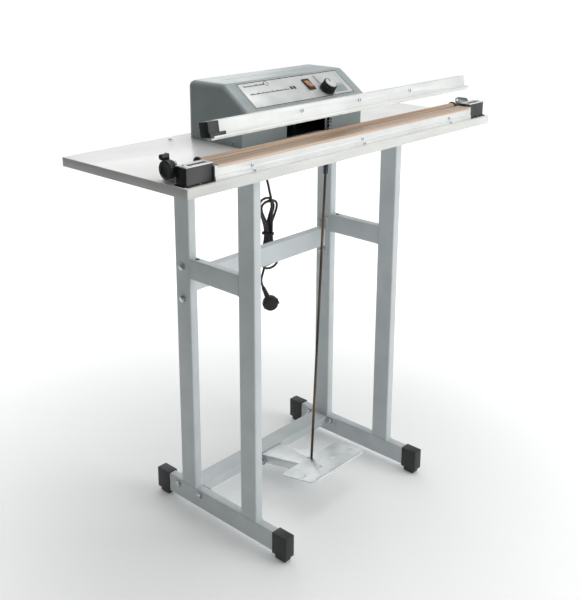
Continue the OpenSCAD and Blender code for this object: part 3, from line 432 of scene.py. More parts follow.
# %% [markdown]
# Metals keep their default IOR. Extruded aluminium shows die lines along its length, so its noise
# is stretched along X. Bright zinc is mottled by its crystals. The pedal is stainless sheet, with
# a fine grain along its arm and dull rubs where shoes land.

# %% Metals
anodised, tree, shader, place = material("anodised_aluminium", "#D8DAD9", 0.35, 0.48)
die_lines = noise(tree, place, 0.8, detail=4, stretch=(0.004, 1, 1))
vary(tree, shader, noise(tree, place, 70), "#D2D4D3", "#DCDEDD")
spread(tree, shader, die_lines, 0.42, 0.56)
relief(tree, shader, die_lines, 0.03, 0.35)

zinc, tree, shader, place = material("bright_zinc_plate", "#C6CBCE", 1.0, 0.3)
vary(tree, shader, noise(tree, place, 3, detail=4), "#A9B0B4", "#D2D6D8")
spread(tree, shader, noise(tree, place, 2, detail=3), 0.2, 0.4)
relief(tree, shader, noise(tree, place, 1.2), 0.02, 0.3)

stainless, tree, shader, place = material("brushed_stainless_sheet", "#D9DDDE", 0.75, 0.42)
grain = noise(tree, place, 0.6, detail=4, stretch=(1, 0.01, 1))
scuffs = noise(tree, place, 34, detail=4, rough=0.5)
vary(tree, shader, scuffs, "#D0D5D6", "#E2E5E6")
spread(tree, shader, scuffs, 0.36, 0.5)
relief(tree, shader, grain, 0.02, 0.3)

# Dark steel for the nuts and the transformer; the screw slots use it too, as painted shade of their recesses.
dark_steel, tree, shader, place = material("oiled_dark_steel", "#3C4043", 1.0, 0.42)
vary(tree, shader, noise(tree, place, 4, detail=5), "#2A2D30", "#50555A")
relief(tree, shader, noise(tree, place, 0.8), 0.03, 0.4)

rod_steel, tree, shader, place = material("browned_rod_steel", "#4F4A44", 0.9, 0.38)
vary(tree, shader, noise(tree, place, 45, detail=4, stretch=(1, 1, 0.3)), "#3B3936", "#7A6552", 0.4, 0.72)
relief(tree, shader, noise(tree, place, 0.7), 0.02, 0.3)

spring_steel, tree, shader, place = material("drawn_spring_wire", "#8F969A", 1.0, 0.3)
vary(tree, shader, noise(tree, place, 2, detail=3), "#757C80", "#A6ACB0")
relief(tree, shader, noise(tree, place, 0.4), 0.01, 0.3)

# %% [markdown]
# Moulded black parts are ABS with an eroded mould texture. The cord and plug are soft PVC, which is
# smoother and catches a wider highlight. The cap of the dial is grey gloss ABS.

# %% Plastics and rubber
def moulded(name, dark, light, roughness, grit_mm, depth_mm, **extra):
    made, tree, shader, place = material(name, light, roughness=roughness, **extra)
    vary(tree, shader, noise(tree, place, 14, detail=4), dark, light)
    spread(tree, shader, noise(tree, place, 6), roughness - 0.07, roughness + 0.07)
    relief(tree, shader, noise(tree, place, grit_mm, detail=2), depth_mm, 0.5)
    return made


black_abs = moulded("black_moulded_abs", "#141517", "#1D1F22", 0.48, 0.8, 0.05, IOR=1.53)
cord_pvc = moulded("black_cable_pvc", "#121314", "#1B1C1E", 0.4, 1.5, 0.04, IOR=1.52)
silicone = moulded("off_white_silicone", "#DCD9D0", "#ECEAE3", 0.55, 1.0, 0.03, Subsurface_Weight=0.1)
grey_abs = moulded("light_grey_abs", "#C4C8CA", "#D5D8D9", 0.3, 1.0, 0.02, IOR=1.53)
brown_resin = moulded("brown_phenolic_resin", "#3B2C1F", "#4C3A2A", 0.4, 1.2, 0.04, IOR=1.55)
red_abs = moulded("red_moulded_abs", "#9C3426", "#B8483A", 0.35, 1.0, 0.02, IOR=1.53)
green_board = moulded("green_solder_mask", "#22563A", "#2F6D49", 0.3, 2.5, 0.03)
amber = moulded("amber_clear_polycarbonate", "#B4663E", "#CF8257", 0.18, 3.0, 0.01, IOR=1.58,
                Transmission_Weight=0.25, Coat_Weight=0.4)
print("plastics made")

# %% [markdown]
# The cloth over the heating strip is woven glass coated with brown fluoropolymer. The real
# threads are half a millimetre apart, too fine to show from here, so they are drawn at 1.2 mm.
# Heat and rubbing leave darker streaks along its length.

# %% Coated glass cloth
THREAD_MM = 1.2


def coated_cloth(name, dark, light):
    made, tree, shader, place = material(name, light, roughness=0.42, Coat_Weight=0.2)
    axes = add(tree, "ShaderNodeSeparateXYZ", {"Vector": place})
    turns = 2 * math.pi * 1000 / THREAD_MM
    waves = []
    for way in ("X", "Y"):
        phase = add(tree, "ShaderNodeMath", {0: axes.outputs[way], 1: turns}, operation="MULTIPLY")
        wave = add(tree, "ShaderNodeMath", {0: phase.outputs[0]}, operation="SINE")
        waves.append(wave.outputs[0])
    weave = add(tree, "ShaderNodeMath", {0: waves[0], 1: waves[1]}, operation="MULTIPLY").outputs[0]
    vary(tree, shader, noise(tree, place, 2.6, detail=2, stretch=(0.006, 1, 1)), dark, light, 0.38, 0.62)
    relief(tree, shader, weave, 0.06, 0.6)
    return made


bed_cloth = coated_cloth("tan_coated_glass_cloth", "#B4967F", "#D8BFA9")
rolled_cloth = coated_cloth("wound_coated_glass_cloth", "#A3866F", "#CDB29B")
element_metal, tree, shader, place = material("nichrome_ribbon", "#8E8578", 1.0, 0.35)
vary(tree, shader, noise(tree, place, 5, stretch=(0.05, 1, 1)), "#756C60", "#A0978A")
relief(tree, shader, noise(tree, place, 0.5), 0.01, 0.3)

# %% [markdown]
# The control plate is a printed foil: silver with a fine metallic sparkle, black and grey ink.

# %% Foil and inks
foil, tree, shader, place = material("printed_silver_foil", "#D2D5D3", 0.45, 0.38, Coat_Weight=0.3)
vary(tree, shader, noise(tree, place, 45), "#CCD0CE", "#DBDDDB")
relief(tree, shader, noise(tree, place, 0.7), 0.01, 0.3)
black_ink = moulded("black_screen_ink", "#1E2022", "#2B2E30", 0.5, 0.9, 0.01)
grey_ink = moulded("grey_screen_ink", "#8E9698", "#9CA3A5", 0.5, 0.9, 0.01)
print("materials:", len(bpy.data.materials))

# %% [markdown]
# ## The mains cord
# Six-millimetre round flex leaves the housing's gland, falls behind the board under its own
# weight and is folded into a hank, tied in the middle so that it opens into two pairs of lobes.
# Its plug hangs below. The route is given; the hank's turns follow a formula.

# %% Cord
CORD_D = 0.006
cord_drop = [(0.090, 0.162, 0.873), (0.090, 0.170, 0.873), (0.090, 0.181, 0.870), (0.090, 0.190, 0.862),
             (0.090, 0.194, 0.850), (0.091, 0.195, 0.835), (0.092, 0.195, 0.818), (0.093, 0.195, 0.800),
             (0.095, 0.194, 0.780), (0.098, 0.193, 0.760), (0.101, 0.191, 0.740), (0.105, 0.189, 0.720),
             (0.109, 0.187, 0.700), (0.113, 0.184, 0.680), (0.116, 0.182, 0.662), (0.118, 0.180, 0.648)]
cord_tail = [(0.115, 0.201, 0.461), (0.112, 0.202, 0.449), (0.1085, 0.203, 0.438), (0.107, 0.2025, 0.427),
             (0.110, 0.2005, 0.414)]
HANK_MID = Vector((0.118, 0.190, 0.554))
HANK_TURNS = 3
TURN_PITCH = 0.0062
LOBE_H = 0.089
LOBE_W = 0.060
PINCH = 0.0034


def hank_point(turn):
    """A point on the tied hank; turn counts full turns, from the tie on its way down."""
    angle = 2 * math.pi * (turn + 0.25)
    wide = LOBE_W * (1 + 0.14 * math.sin(2.1 * turn))
    tall = LOBE_H * (1 - 0.10 * math.sin(math.pi * turn / HANK_TURNS) ** 2)
    across = math.sin(angle) * (PINCH + wide * math.cos(angle) ** 2)
    deep = (turn - HANK_TURNS / 2) * TURN_PITCH
    return HANK_MID + Vector((across, deep, tall * math.cos(angle)))


tie_in, tie_out = hank_point(0), hank_point(HANK_TURNS)
inner = [(0.1195, 0.179, 0.630), (0.121, 0.179, 0.605), (tie_in.x, 0.1802, 0.578)]
outer = [(tie_out.x, 0.1998, 0.530), (0.121, 0.2008, 0.503), (0.1185, 0.201, 0.480)]
turns = [hank_point(k / 32) for k in range(HANK_TURNS * 32 + 1)]
route = smooth_route(cord_drop + inner + turns[:1], 4)[:-1] + turns
route += smooth_route(turns[-1:] + outer + cord_tail, 4)[1:]
cord_piece = sweep("mains_flex", route, CORD_D / 2, sides=12)
finish_piece(cord_piece, "stand", cord_pvc, ["mains_cord", "cord_hank"])

# %% [markdown]
# The plug is the round earthed kind with the cord leaving at an angle. The body is turned, with a
# collar for the fingers, a ribbed sleeve on the neck and two pins with their insulating roots.

# %% Plug, tie and strain relief
plug_place = (Matrix.Translation((0.123, 0.187, 0.369)) @ Matrix.Rotation(math.radians(-46), 4, "Z")
              @ Matrix.Rotation(math.radians(-22.6), 4, "Y"))
plug_axis = (plug_place.to_3x3() @ Vector((0, 1, 0))).normalized()
plug_up = (plug_place.to_3x3() @ Vector(UP)).normalized()
plug_body = turned("plug_body", [(0.010, -0.0085), (0.0155, -0.0082), (0.0178, -0.0068), (0.0186, -0.0045),
                                 (0.0186, -0.0015), (0.0200, -0.0005), (0.0200, 0.0030), (0.0192, 0.0042),
                                 (0.0192, 0.0085), (0.0160, 0.0085), (0.0160, 0.0078), (0.0050, 0.0078)],
                   plug_place @ Vector((0, 0, 0)), plug_axis)
finish_piece(plug_body, "stand", cord_pvc, ["plug"])
sleeve = []
for k in range(8):
    start = 0.0165 + 0.0038 * k
    wide = 0.0070 - 0.00030 * k
    sleeve += [(wide, start), (wide, start + 0.0022), (wide - 0.0012, start + 0.0026),
               (wide - 0.0012, start + 0.0036)]
sleeve += [(0.0036, 0.0472), (0.0036, 0.0488)]
plug_neck = turned("plug_neck", sleeve, plug_place @ Vector((0, 0, 0)), plug_up, sides=24)
finish_piece(plug_neck, "stand", cord_pvc)
plug_parts = [plug_body, plug_neck]
for side in (-1, 1):
    root = plug_place @ Vector((side * 0.0095, 0, 0))
    collar = turned("pin_root_%d" % (side + 2), [(0.0024, 0.0075), (0.0024, 0.0170)], root, plug_axis, 20)
    pin = turned("pin_%d" % (side + 2), [(0.0023, 0.0165), (0.0023, 0.0262), (0.0017, 0.0274),
                                         (0.0006, 0.0278)], root, plug_axis, 20)
    plug_parts += [finish_piece(collar, "stand", black_abs),
                   finish_piece(pin, "stand", zinc)]
    grip = slab("plug_grip_%d" % (side + 2), rectangle(0.005, 0.016, 0.002), 0.004,
                plug_place @ Vector((side * 0.0183, -0.006, 0.001)), plug_axis, plug_up, 0.0006)
    plug_parts.append(finish_piece(grip, "stand", cord_pvc))

band = []
for k in range(3 * 32 + 1):
    angle = 2 * math.pi * k / 32
    square = max(abs(math.cos(angle)) ** 0.4, 0.05), max(abs(math.sin(angle)) ** 0.4, 0.05)
    band.append(HANK_MID + Vector((math.copysign(0.0085 * square[0], math.cos(angle)),
                                   math.copysign(0.0140 * square[1], math.sin(angle)),
                                   -0.0032 + 0.0021 * k / 32)))
tie = sweep("cord_tie", band, 0.0011, sides=8)
finish_piece(tie, "stand", cord_pvc)

gland_low, gland_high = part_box("cord_gland")
gland_mid = (gland_low + gland_high) / 2
gland_root = Vector((gland_mid.x, gland_low.y + 0.004, gland_mid.z))
relief_profile = [(0.0095, 0.0001), (0.0095, 0.0048), (0.0085, 0.0060), (0.0072, 0.0062)]
for k in range(7):
    start = 0.0066 + 0.0040 * k
    wide = 0.0070 - 0.00038 * k
    relief_profile += [(wide, start), (wide, start + 0.0024), (wide - 0.0013, start + 0.0028),
                       (wide - 0.0013, start + 0.0038)]
relief_profile += [(0.0042, 0.0352), (0.0040, 0.0360)]
gland = turned("strain_relief", relief_profile, gland_root, (0, 1, 0), sides=28)
finish_piece(gland, "stand", black_abs, ["cord_gland"])
print("plug pieces", len(plug_parts))

# %% [markdown]
# ## The stand
# The stand is rectangular steel tube with rounded corners. Each rail and leg is drawn as a rounded
# outline given a length, so the long soft highlight along its corners is there. Where tubes meet
# they are welded, and a low uneven bead of weld runs round the joint under the paint.

# %% Tubes
TUBE_CORNER = 0.003


def tube(name, low, high, node=None):
    """A closed rounded tube that fills the box from low to high along its longest side."""
    low, high = Vector(low), Vector(high)
    size, mid = high - low, (high + low) / 2
    longest = max(range(3), key=lambda i: size[i])
    across, up = [(BACK, UP), (UP, RIGHT), (RIGHT, BACK)][longest]
    wide, tall = [(size.y, size.z), (size.z, size.x), (size.x, size.y)][longest]
    start = mid.copy()
    start[longest] = low[longest]
    piece = slab(name, rectangle(wide, tall, TUBE_CORNER, 5), size[longest], start, across, up)
    sharpen(piece, 30)
    return finish_piece(piece, "stand", frame_paint, [node] if node else [])


def weld_bead(name, corners, radius=0.0016):
    """A low uneven bead along a closed rectangle of corners."""
    chance = random.Random(name)
    points = []
    for i, a in enumerate(corners):
        b = corners[(i + 1) % len(corners)]
        count = max(2, round((Vector(b) - Vector(a)).length / 0.0025))
        points += [Vector(a).lerp(Vector(b), k / count) for k in range(count)]
    points = [p + Vector((0, 0, chance.uniform(-0.0003, 0.0003))) for p in points]
    piece = sweep(name, points, radius, sides=8, closed=True)
    return finish_piece(piece, "stand", frame_paint)


rail_low, rail_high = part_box("left_foot_rail")
side_low, side_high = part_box("left_side_rail")
board_low, board_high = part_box("table_top")
DEEP = rail_high.z - rail_low.z
FLANGE = 0.003
leg_spans = {"front": (side_low.y - DEEP, side_low.y), "rear": (side_high.y, side_high.y + DEEP)}
for side in ("left", "right"):
    low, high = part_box(side + "_foot_rail")
    tube("tube_%s_foot_rail" % side, low, high, side + "_foot_rail")
    mid_low, mid_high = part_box(side + "_side_rail")
    tube("tube_%s_side_rail" % side, mid_low, mid_high, side + "_side_rail")
    for end, (y0, y1) in leg_spans.items():
        name = "%s_%s_leg" % (side, end)
        tube("tube_" + name, (low.x, y0, high.z), (high.x, y1, board_low.z - FLANGE), name)
        plate_low, plate_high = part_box(name)
        plate_mid = (plate_low + plate_high) / 2
        plate_size = plate_high - plate_low
        plate = slab("flange_" + name, rectangle(plate_size.x, plate_size.y, 0.003), FLANGE,
                     (plate_mid.x, plate_mid.y, board_low.z - FLANGE), RIGHT, BACK, 0.0005)
        finish_piece(plate, "stand", frame_paint)
        x0, x1 = low.x + 0.0006, high.x - 0.0006
        weld_bead("weld_foot_" + name, [(x0, y0, high.z), (x1, y0, high.z), (x1, y1, high.z),
                                        (x0, y1, high.z)])
        at = y1 if end == "front" else y0
        z0, z1 = mid_low.z + 0.001, mid_high.z - 0.001
        weld_bead("weld_rail_" + name, [(x0, at, z0), (x1, at, z0), (x1, at, z1), (x0, at, z1)], 0.0012)
print("legs and rails made, tube", round(DEEP * 1000), "mm deep")

# %% Crossbars and caps
for node in ("back_crossbar", "bottom_crossbar"):
    soften(node, 0.0016, "stand", frame_paint, 3)
soften("foot_caps", 0.0018, "stand", black_abs, 3)
soften("frame_bolts", 0.0005, "stand", zinc)
soften("pedal_bolt", 0.0005, "stand", zinc)
for side in ("left", "right"):
    low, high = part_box(side + "_side_rail")
    mid_x = (low.x + high.x) / 2
    stopper = turned("vent_plug_" + side, [(0.0045, 0), (0.0045, 0.0006), (0.0030, 0.0014), (0.0008, 0.0016)],
                     (mid_x, high.y - 0.014, high.z), UP, 20)
    finish_piece(stopper, "stand", black_abs)
print("crossbars and caps made")

# %% [markdown]
# ## The board
# One slab with slightly eased edges. The faces take the laminate and the sides the edge band,
# whose darker white is painted shade of the side faces.

# %% Board
board_mid = (board_low + board_high) / 2
board = slab("board", rectangle(board_high.x - board_low.x, board_high.y - board_low.y, 0.002),
             board_high.z - board_low.z, (board_mid.x, board_mid.y, board_low.z), RIGHT, BACK,
             0.0009)
finish_piece(board, "stand", laminate, ["table_top"])
# The side faces get the darker white, painted shade of the sides.
board.data.materials.append(edge_band_painted_shade)
for polygon in board.data.polygons:
    polygon.material_index = 0 if abs(polygon.normal.z) > 0.7 else 1


def cross_recess(name, at, normal, across, size, body):
    """A cross slot drawn as two thin dark bars let into a screw head; their darkness is painted shade of the
    hollow slot.
    """
    normal, across = Vector(normal).normalized(), Vector(across).normalized()
    other = normal.cross(across)
    for k, (a, b) in enumerate(((across, other), (other, -across))):
        bar = slab("%s_slot%d" % (name, k), rectangle(size, size * 0.24), size * 0.12, Vector(at), a, b)
        finish_piece(bar, body, dark_steel)


def pan_screw(name, at, normal, radius, body="stand", nodes=()):
    """A domed screw head on a face, with its cross slot."""
    normal = Vector(normal).normalized()
    rise = radius * 0.55
    profile = [(radius, -0.0004), (radius, rise * 0.35), (radius * 0.86, rise * 0.75),
               (radius * 0.55, rise * 0.97), (radius * 0.2, rise)]
    head = turned(name, profile, at, normal, 28)
    finish_piece(head, body, zinc, nodes)
    across = normal.orthogonal()
    # The dark slot bars are painted shade of the cross recess.
    cross_recess(name, Vector(at) + normal * (rise * 0.93), normal, across, radius * 1.15, body)
    return head


bolt_low, bolt_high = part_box("table_bolts")
BOLT_R = 0.007
places = [(x, y) for x in (bolt_low.x + BOLT_R, bolt_high.x - BOLT_R)
          for y in (bolt_low.y + BOLT_R, bolt_high.y - BOLT_R)]
for k, (x, y) in enumerate(places):
    head = turned("countersunk_bolt_%d" % k, [(0.0069, -0.001), (0.0069, 0.0002), (0.0060, 0.0005),
                                              (0.002, 0.0005)], (x, y, board_high.z), UP, 32)
    finish_piece(head, "stand", zinc, ["table_bolts"] if k == 0 else [])
    # The dark slot bars are painted shade of the cross recess.
    cross_recess("countersunk_bolt_%d" % k, (x, y, board_high.z + 0.0003), UP, (1, 1, 0), 0.008,
                 "stand")
    nut = turned("bolt_end_%d" % k, [(0.0035, 0), (0.0035, 0.004), (0.0028, 0.005)],
                 (x, y, board_low.z - FLANGE), (0, 0, -1), 20)
    finish_piece(nut, "stand", zinc)
    flat = slab("bolt_nut_%d" % k, [(0.0072 * math.cos(math.pi * j / 3), 0.0072 * math.sin(math.pi * j / 3))
                                    for j in range(6)], 0.0045, (x, y, board_low.z - FLANGE - 0.0045),
                RIGHT, BACK, 0.0004)
    finish_piece(flat, "stand", zinc)
soften("rod_bush", 0.0008, "stand", black_abs)
print("board", [round(v, 3) for v in board_high - board_low])

# %% [markdown]
# ## Pedal, rod and spring
# The pedal is one folded stainless sheet. Four low domes are pressed in its plate for grip. The
# rod is threaded at both ends, and an open spring round its top lifts the jaw again.

# %% Pedal
soften("foot_pedal", 0.0009, "pedal", stainless)
HINGE = Vector((0.004, 0.065, 0.040))
TILT = math.radians(11.5)
toe = Vector((0, -math.cos(TILT), math.sin(TILT)))
plate_up = Vector((0, math.sin(TILT), math.cos(TILT)))
for k, x in enumerate((-0.082, -0.027, 0.027, 0.082)):
    at = HINGE + toe * 0.1745 + plate_up * 0.017 + Vector((x, 0, 0))
    dome = turned("pedal_dome_%d" % k, [(0.0100, -0.0002), (0.0092, 0.0003), (0.0075, 0.0010),
                                        (0.0050, 0.0015), (0.0020, 0.0017)], at, plate_up, 32)
    finish_piece(dome, "pedal", stainless)

# %% Rod and spring
rod_low, rod_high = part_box("pull_rod")
ROD_R = 0.003
rod_foot = Vector(((rod_low.x + rod_high.x) / 2, rod_high.y - ROD_R, rod_low.z))
rod_top = Vector((rod_foot.x, rod_low.y + ROD_R, rod_high.z))
rod_up = (rod_top - rod_foot).normalized()
rod_length = (rod_top - rod_foot).length
PITCH_M = 0.001


def thread(start, end):
    """Ridges of a metric thread between two heights along the rod."""
    count = int((end - start) / PITCH_M)
    made = []
    for k in range(count):
        made += [(ROD_R - 0.0006, start + k * PITCH_M), (ROD_R, start + (k + 0.5) * PITCH_M)]
    return made


profile = [(0.0021, 0.0002), (0.0025, 0.0008)] + thread(0.001, 0.024) + [(ROD_R, 0.025)]
profile += [(ROD_R, rod_length - 0.046)] + thread(rod_length - 0.045, rod_length - 0.0012)
profile += [(0.0021, rod_length - 0.0002)]
rod = turned("threaded_rod", profile, rod_foot, rod_up, 24)
finish_piece(rod, "rod", rod_steel, ["pull_rod"])
soften("rod_nuts", 0.0005, "rod", dark_steel)

spring_low, spring_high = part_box("return_spring")
spring_mid = (spring_low + spring_high) / 2
WIRE_R = 0.0011
coil_r = (spring_high.x - spring_low.x) / 2 - WIRE_R
low_z, high_z = spring_low.z + WIRE_R, spring_high.z - WIRE_R
COILS = 7
helix = []
for k in range(COILS * 24 + 1):
    share = k / (COILS * 24)
    rise = share + 0.045 * math.sin(2 * math.pi * share) * (-1 if share < 0.5 else 1)
    turn = 2 * math.pi * COILS * share
    helix.append((spring_mid.x + coil_r * math.cos(turn), spring_mid.y + coil_r * math.sin(turn),
                  low_z + (high_z - low_z) * min(max(rise, 0), 1)))
spring = sweep("coil_spring", helix, WIRE_R, sides=10)
finish_piece(spring, "stand", spring_steel, ["return_spring"])
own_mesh(spring)
print("rod", round(rod_length, 3), "m, spring coils", COILS)

# %% [markdown]
# ## The jaws
# Both jaws are extrusions cut to length. The upper one carries a silicone strip under its lip; the
# lower one carries a tape, the heating ribbon and the coated cloth, which comes off a roll behind.

# %% Jaws
soften("jaw_arm", 0.0008, "jaw", black_paint)
soften("upper_jaw", 0.0009, "jaw", anodised)
soften("silicone_strip", 0.0008, "jaw", silicone)
soften("upper_jaw_left_cap", 0.0012, "jaw", black_abs)
soften("upper_jaw_right_cap", 0.0006, "jaw", anodised)
soften("lower_jaw", 0.0008, "stand", anodised)
JAW_OPEN = math.radians(9.5)
jaw_front = Vector((0, -math.cos(JAW_OPEN), math.sin(JAW_OPEN)))
screws_low, screws_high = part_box("upper_jaw_screws")
screw_row = (screws_high.x - screws_low.x) / 2 - 0.0034
head_root = Vector((0, screws_low.y + 0.0024, (screws_low.z + screws_high.z) / 2 + 0.0002))
for k in (-1, 0, 1):
    pan_screw("upper_screw_%d" % (k + 1), head_root + Vector((k * screw_row, 0, 0)), jaw_front, 0.0036, "jaw",
              ["upper_jaw_screws"] if k == 0 else [])
low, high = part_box("lower_jaw_screws")
lower_row = (high.x - low.x) / 2 - 0.0055
jaw_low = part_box("lower_jaw")[0]
for k in (-1, 0, 1):
    for step, (dx, up, proud) in enumerate(((0, 0.0134, 0.0015), (0.005, 0.004, 0))):
        at = (k * lower_row + dx, jaw_low.y + proud, board_high.z + up)
        pan_screw("lower_screw_%d_%d" % (k + 1, step), at, (0, -1, 0), 0.003, "stand",
                  ["lower_jaw_screws"] if k == 0 and step == 0 else [])
print("jaws made")

# %% Roll, brackets and end covers
soften("roll_core", 0.0005, "roll", black_paint)
soften("roll_knob", 0.0007, "roll", black_abs)
soften("roll_lock_lever", 0.0006, "lock_lever", black_abs)
for side in ("left", "right"):
    soften(side + "_roll_bracket", 0.0006, "stand", zinc)
    soften(side + "_end_cover", 0.0008, "stand", black_paint)
    soften(side + "_cover_plate", 0.0005, "stand", anodised)
    soften(side + "_bearing_bracket", 0.0008, "stand", zinc)
    low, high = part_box(side + "_cover_plate")
    screw_x = low.x + 0.005 if side == "left" else high.x - 0.005
    pan_screw(side + "_plate_screw_0", (screw_x, (low.y + high.y) / 2, high.z), UP, 0.0026)
    low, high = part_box(side + "_end_cover")
    pan_screw(side + "_cover_screw", ((low.x + high.x) / 2, low.y + 0.0032, board_high.z + 0.002), UP,
              0.0022)
soften("pivot_shaft", 0.0006, "stand", zinc)
print("roll and covers made")

# %% [markdown]
# ## The housing
# The housing is folded and welded sheet with a generous round on its upper edges. It is drawn as
# slices across the machine: in the last few millimetres at each side the outline shrinks along
# a quarter circle, and that gives one continuous round over the slope, the top and the back.

# %% Housing
house_low, house_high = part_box("housing")
ROUND = 0.014
SHEET = 0.0015
half = (house_high.x - house_low.x) / 2
top = house_high.z - board_high.z
front, back = house_low.y + 0.015, house_high.y
LIP_UNDER, LIP_TOP = 0.066, 0.070
slope_top = front + 0.055
slope = math.atan2(top - LIP_TOP, slope_top - house_low.y)


def arc(corner, start, end, radius, steps=7):
    """Points on the round of a corner between two directions, in degrees."""
    turns = [math.radians(start + (end - start) * k / steps) for k in range(steps + 1)]
    return [(corner[0] + radius * math.cos(turn), corner[1] + radius * math.sin(turn)) for turn in turns]


def outline(inset):
    """The side outline, as (y, z above the board), shrunk by inset on its slope, top and back."""
    lift = (slope_top - house_low.y) * math.tan(slope) - (top - LIP_TOP)
    front_z = LIP_TOP + lift - inset / math.cos(slope)
    lip_y = house_low.y + max(0.0, (LIP_UNDER - front_z) / math.tan(slope))
    lip_z = max(front_z, LIP_UNDER + 0.0001)
    bend = 0.012
    knee = slope_top + inset * math.tan(slope / 2)
    reach = bend * math.tan(slope / 2)
    turn = math.degrees(slope)
    knee_round = arc((knee + reach, top - inset - bend), 90 + turn, 90, bend)
    rear = max(ROUND - inset, 0.001)
    rear_round = arc((back - inset - rear, top - inset - rear), 90, 0, rear)
    return [(front, 0), (front, LIP_UNDER), (lip_y, LIP_UNDER), (lip_y, lip_z)] + knee_round + rear_round + [
        (back - inset, 0)]


slices = []
STEPS = 9
for k in range(STEPS + 1):
    angle = math.pi / 2 * (1 - k / STEPS)
    slices.append((-(half - ROUND) - ROUND * math.sin(angle), ROUND * (1 - math.cos(angle))))
slices += [(-x, inset) for x, inset in reversed(slices)]
verts, faces = [], []
count = len(outline(0))
for x, inset in slices:
    verts += [(x, y, board_high.z + z) for y, z in outline(inset)]
for i in range(len(slices) - 1):
    for k in range(count - 1):
        a, b = i * count + k, (i + 1) * count + k
        faces.append((a, a + 1, b + 1, b))
faces.append(tuple(range(count)))
faces.append(tuple(range((len(slices) - 1) * count, len(slices) * count)))
housing = build("sheet_housing", verts, faces, smooth=True)
thick = housing.modifiers.new("sheet", "SOLIDIFY")
thick.thickness = SHEET
thick.offset = -1
apply_modifiers(housing)


def cut(piece, low, high):
    """Cuts a box out of a piece."""
    low, high = Vector(low), Vector(high)
    mid = (low + high) / 2
    tool = slab("cutter", rectangle(high.x - low.x, high.y - low.y), high.z - low.z,
                (mid.x, mid.y, low.z), RIGHT, BACK)
    knife = piece.modifiers.new("cut", "BOOLEAN")
    knife.operation = "DIFFERENCE"
    knife.solver = "EXACT"
    knife.object = tool
    apply_modifiers(piece)
    bpy.data.objects.remove(tool)


cut(housing, (-0.058, front - 0.004, board_high.z - 0.005), (0.066, front + 0.006, board_high.z + 0.064))
for k in range(8):
    cut(housing, (-0.150 + 0.014 * k, back - 0.004, board_high.z + 0.078),
        (-0.144 + 0.014 * k, back + 0.004, board_high.z + 0.100))
cut(housing, (-0.150, front + 0.0995, house_high.z - 0.0007), (0.150, front + 0.1010, house_high.z + 0.001))
sharpen(housing, 25)
finish_piece(housing, "stand", housing_paint, ["housing"])
# A thin black sheet on the board inside the housing is painted shade: it darkens the inside seen through the
# front opening and the rear vents.
inside_shade_sheet = slab("housing_inside_shade_sheet", rectangle(2 * half - 0.020, back - front - 0.020), 0.0006,
              (0, (front + back) / 2, board_high.z + 0.0001), RIGHT, BACK)
finish_piece(inside_shade_sheet, "stand", black_abs)
screw_low, screw_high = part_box("housing_screws")
for side in (-1, 1):
    for k, y in enumerate((screw_low.y + 0.0044, screw_high.y - 0.0044)):
        pan_screw("housing_screw_%d_%d" % (side + 1, k), (side * half, y, board_high.z + 0.0062),
                  (side, 0, 0), 0.0044, "stand", ["housing_screws"] if side == 1 and k == 0 else [])
print("housing", len(housing.data.polygons), "faces, slope", round(math.degrees(slope), 1))

# %% [markdown]
# ## The control plate
# The slope carries a printed foil with a black border, a dial scale and rows of print. The rows are
# plain dashes. All the print is ink a tenth of a millimetre proud, so it stays crisp.

# %% Control plate
slope_out = Vector((0, -math.sin(slope), math.cos(slope)))
slope_up = Vector((0, math.cos(slope), math.sin(slope)))
ACROSS = Vector((1, 0, 0))


def on_slope(x, down, out=0.0):
    """A point on the slope: x, distance down from its top edge, distance out of it."""
    return Vector((x, slope_top, house_high.z)) - slope_up * down + slope_out * out


label_low, label_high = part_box("control_label")
plate_half = (label_high.x - label_low.x) / 2
PLATE_TOP, PLATE_FOOT, PLATE_T = 0.0045, 0.0786, 0.0009
plate_mid = (PLATE_TOP + PLATE_FOOT) / 2
plate = slab("control_foil", rectangle(2 * plate_half, PLATE_FOOT - PLATE_TOP, 0.003), PLATE_T,
             on_slope(0, plate_mid), ACROSS, slope_up, 0.0002)
finish_piece(plate, "stand", foil, ["control_label"])
INK = 0.0001


def ink(name, x, down, width, height, mat=None, turn=0.0):
    """A bar of print, centred on a place of the plate."""
    c, s = math.cos(turn), math.sin(turn)
    piece = slab(name, rectangle(width, height), INK, on_slope(x, down, PLATE_T), ACROSS * c + slope_up * s,
                 slope_up * c - ACROSS * s)
    return finish_piece(piece, "stand", mat or black_ink)


def ring_of_ink(name, x, down, inner, outer, start, end, mat=None):
    """An arc of print; angles are degrees, anticlockwise from the right."""
    steps = 48
    verts, faces = [], []
    for k in range(steps + 1):
        angle = math.radians(start + (end - start) * k / steps)
        way = ACROSS * math.cos(angle) + slope_up * math.sin(angle)
        for r, out in ((inner, 0), (outer, 0), (outer, INK), (inner, INK)):
            verts.append(on_slope(x, down, PLATE_T + out) + way * r)
    for k in range(steps):
        a, b = 4 * k, 4 * k + 4
        faces += [(a + j, a + (j + 1) % 4, b + (j + 1) % 4, b + j) for j in range(4)]
    faces += [(0, 1, 2, 3), (4 * steps, 4 * steps + 1, 4 * steps + 2, 4 * steps + 3)]
    return finish_piece(build(name, verts, faces), "stand", mat or black_ink)


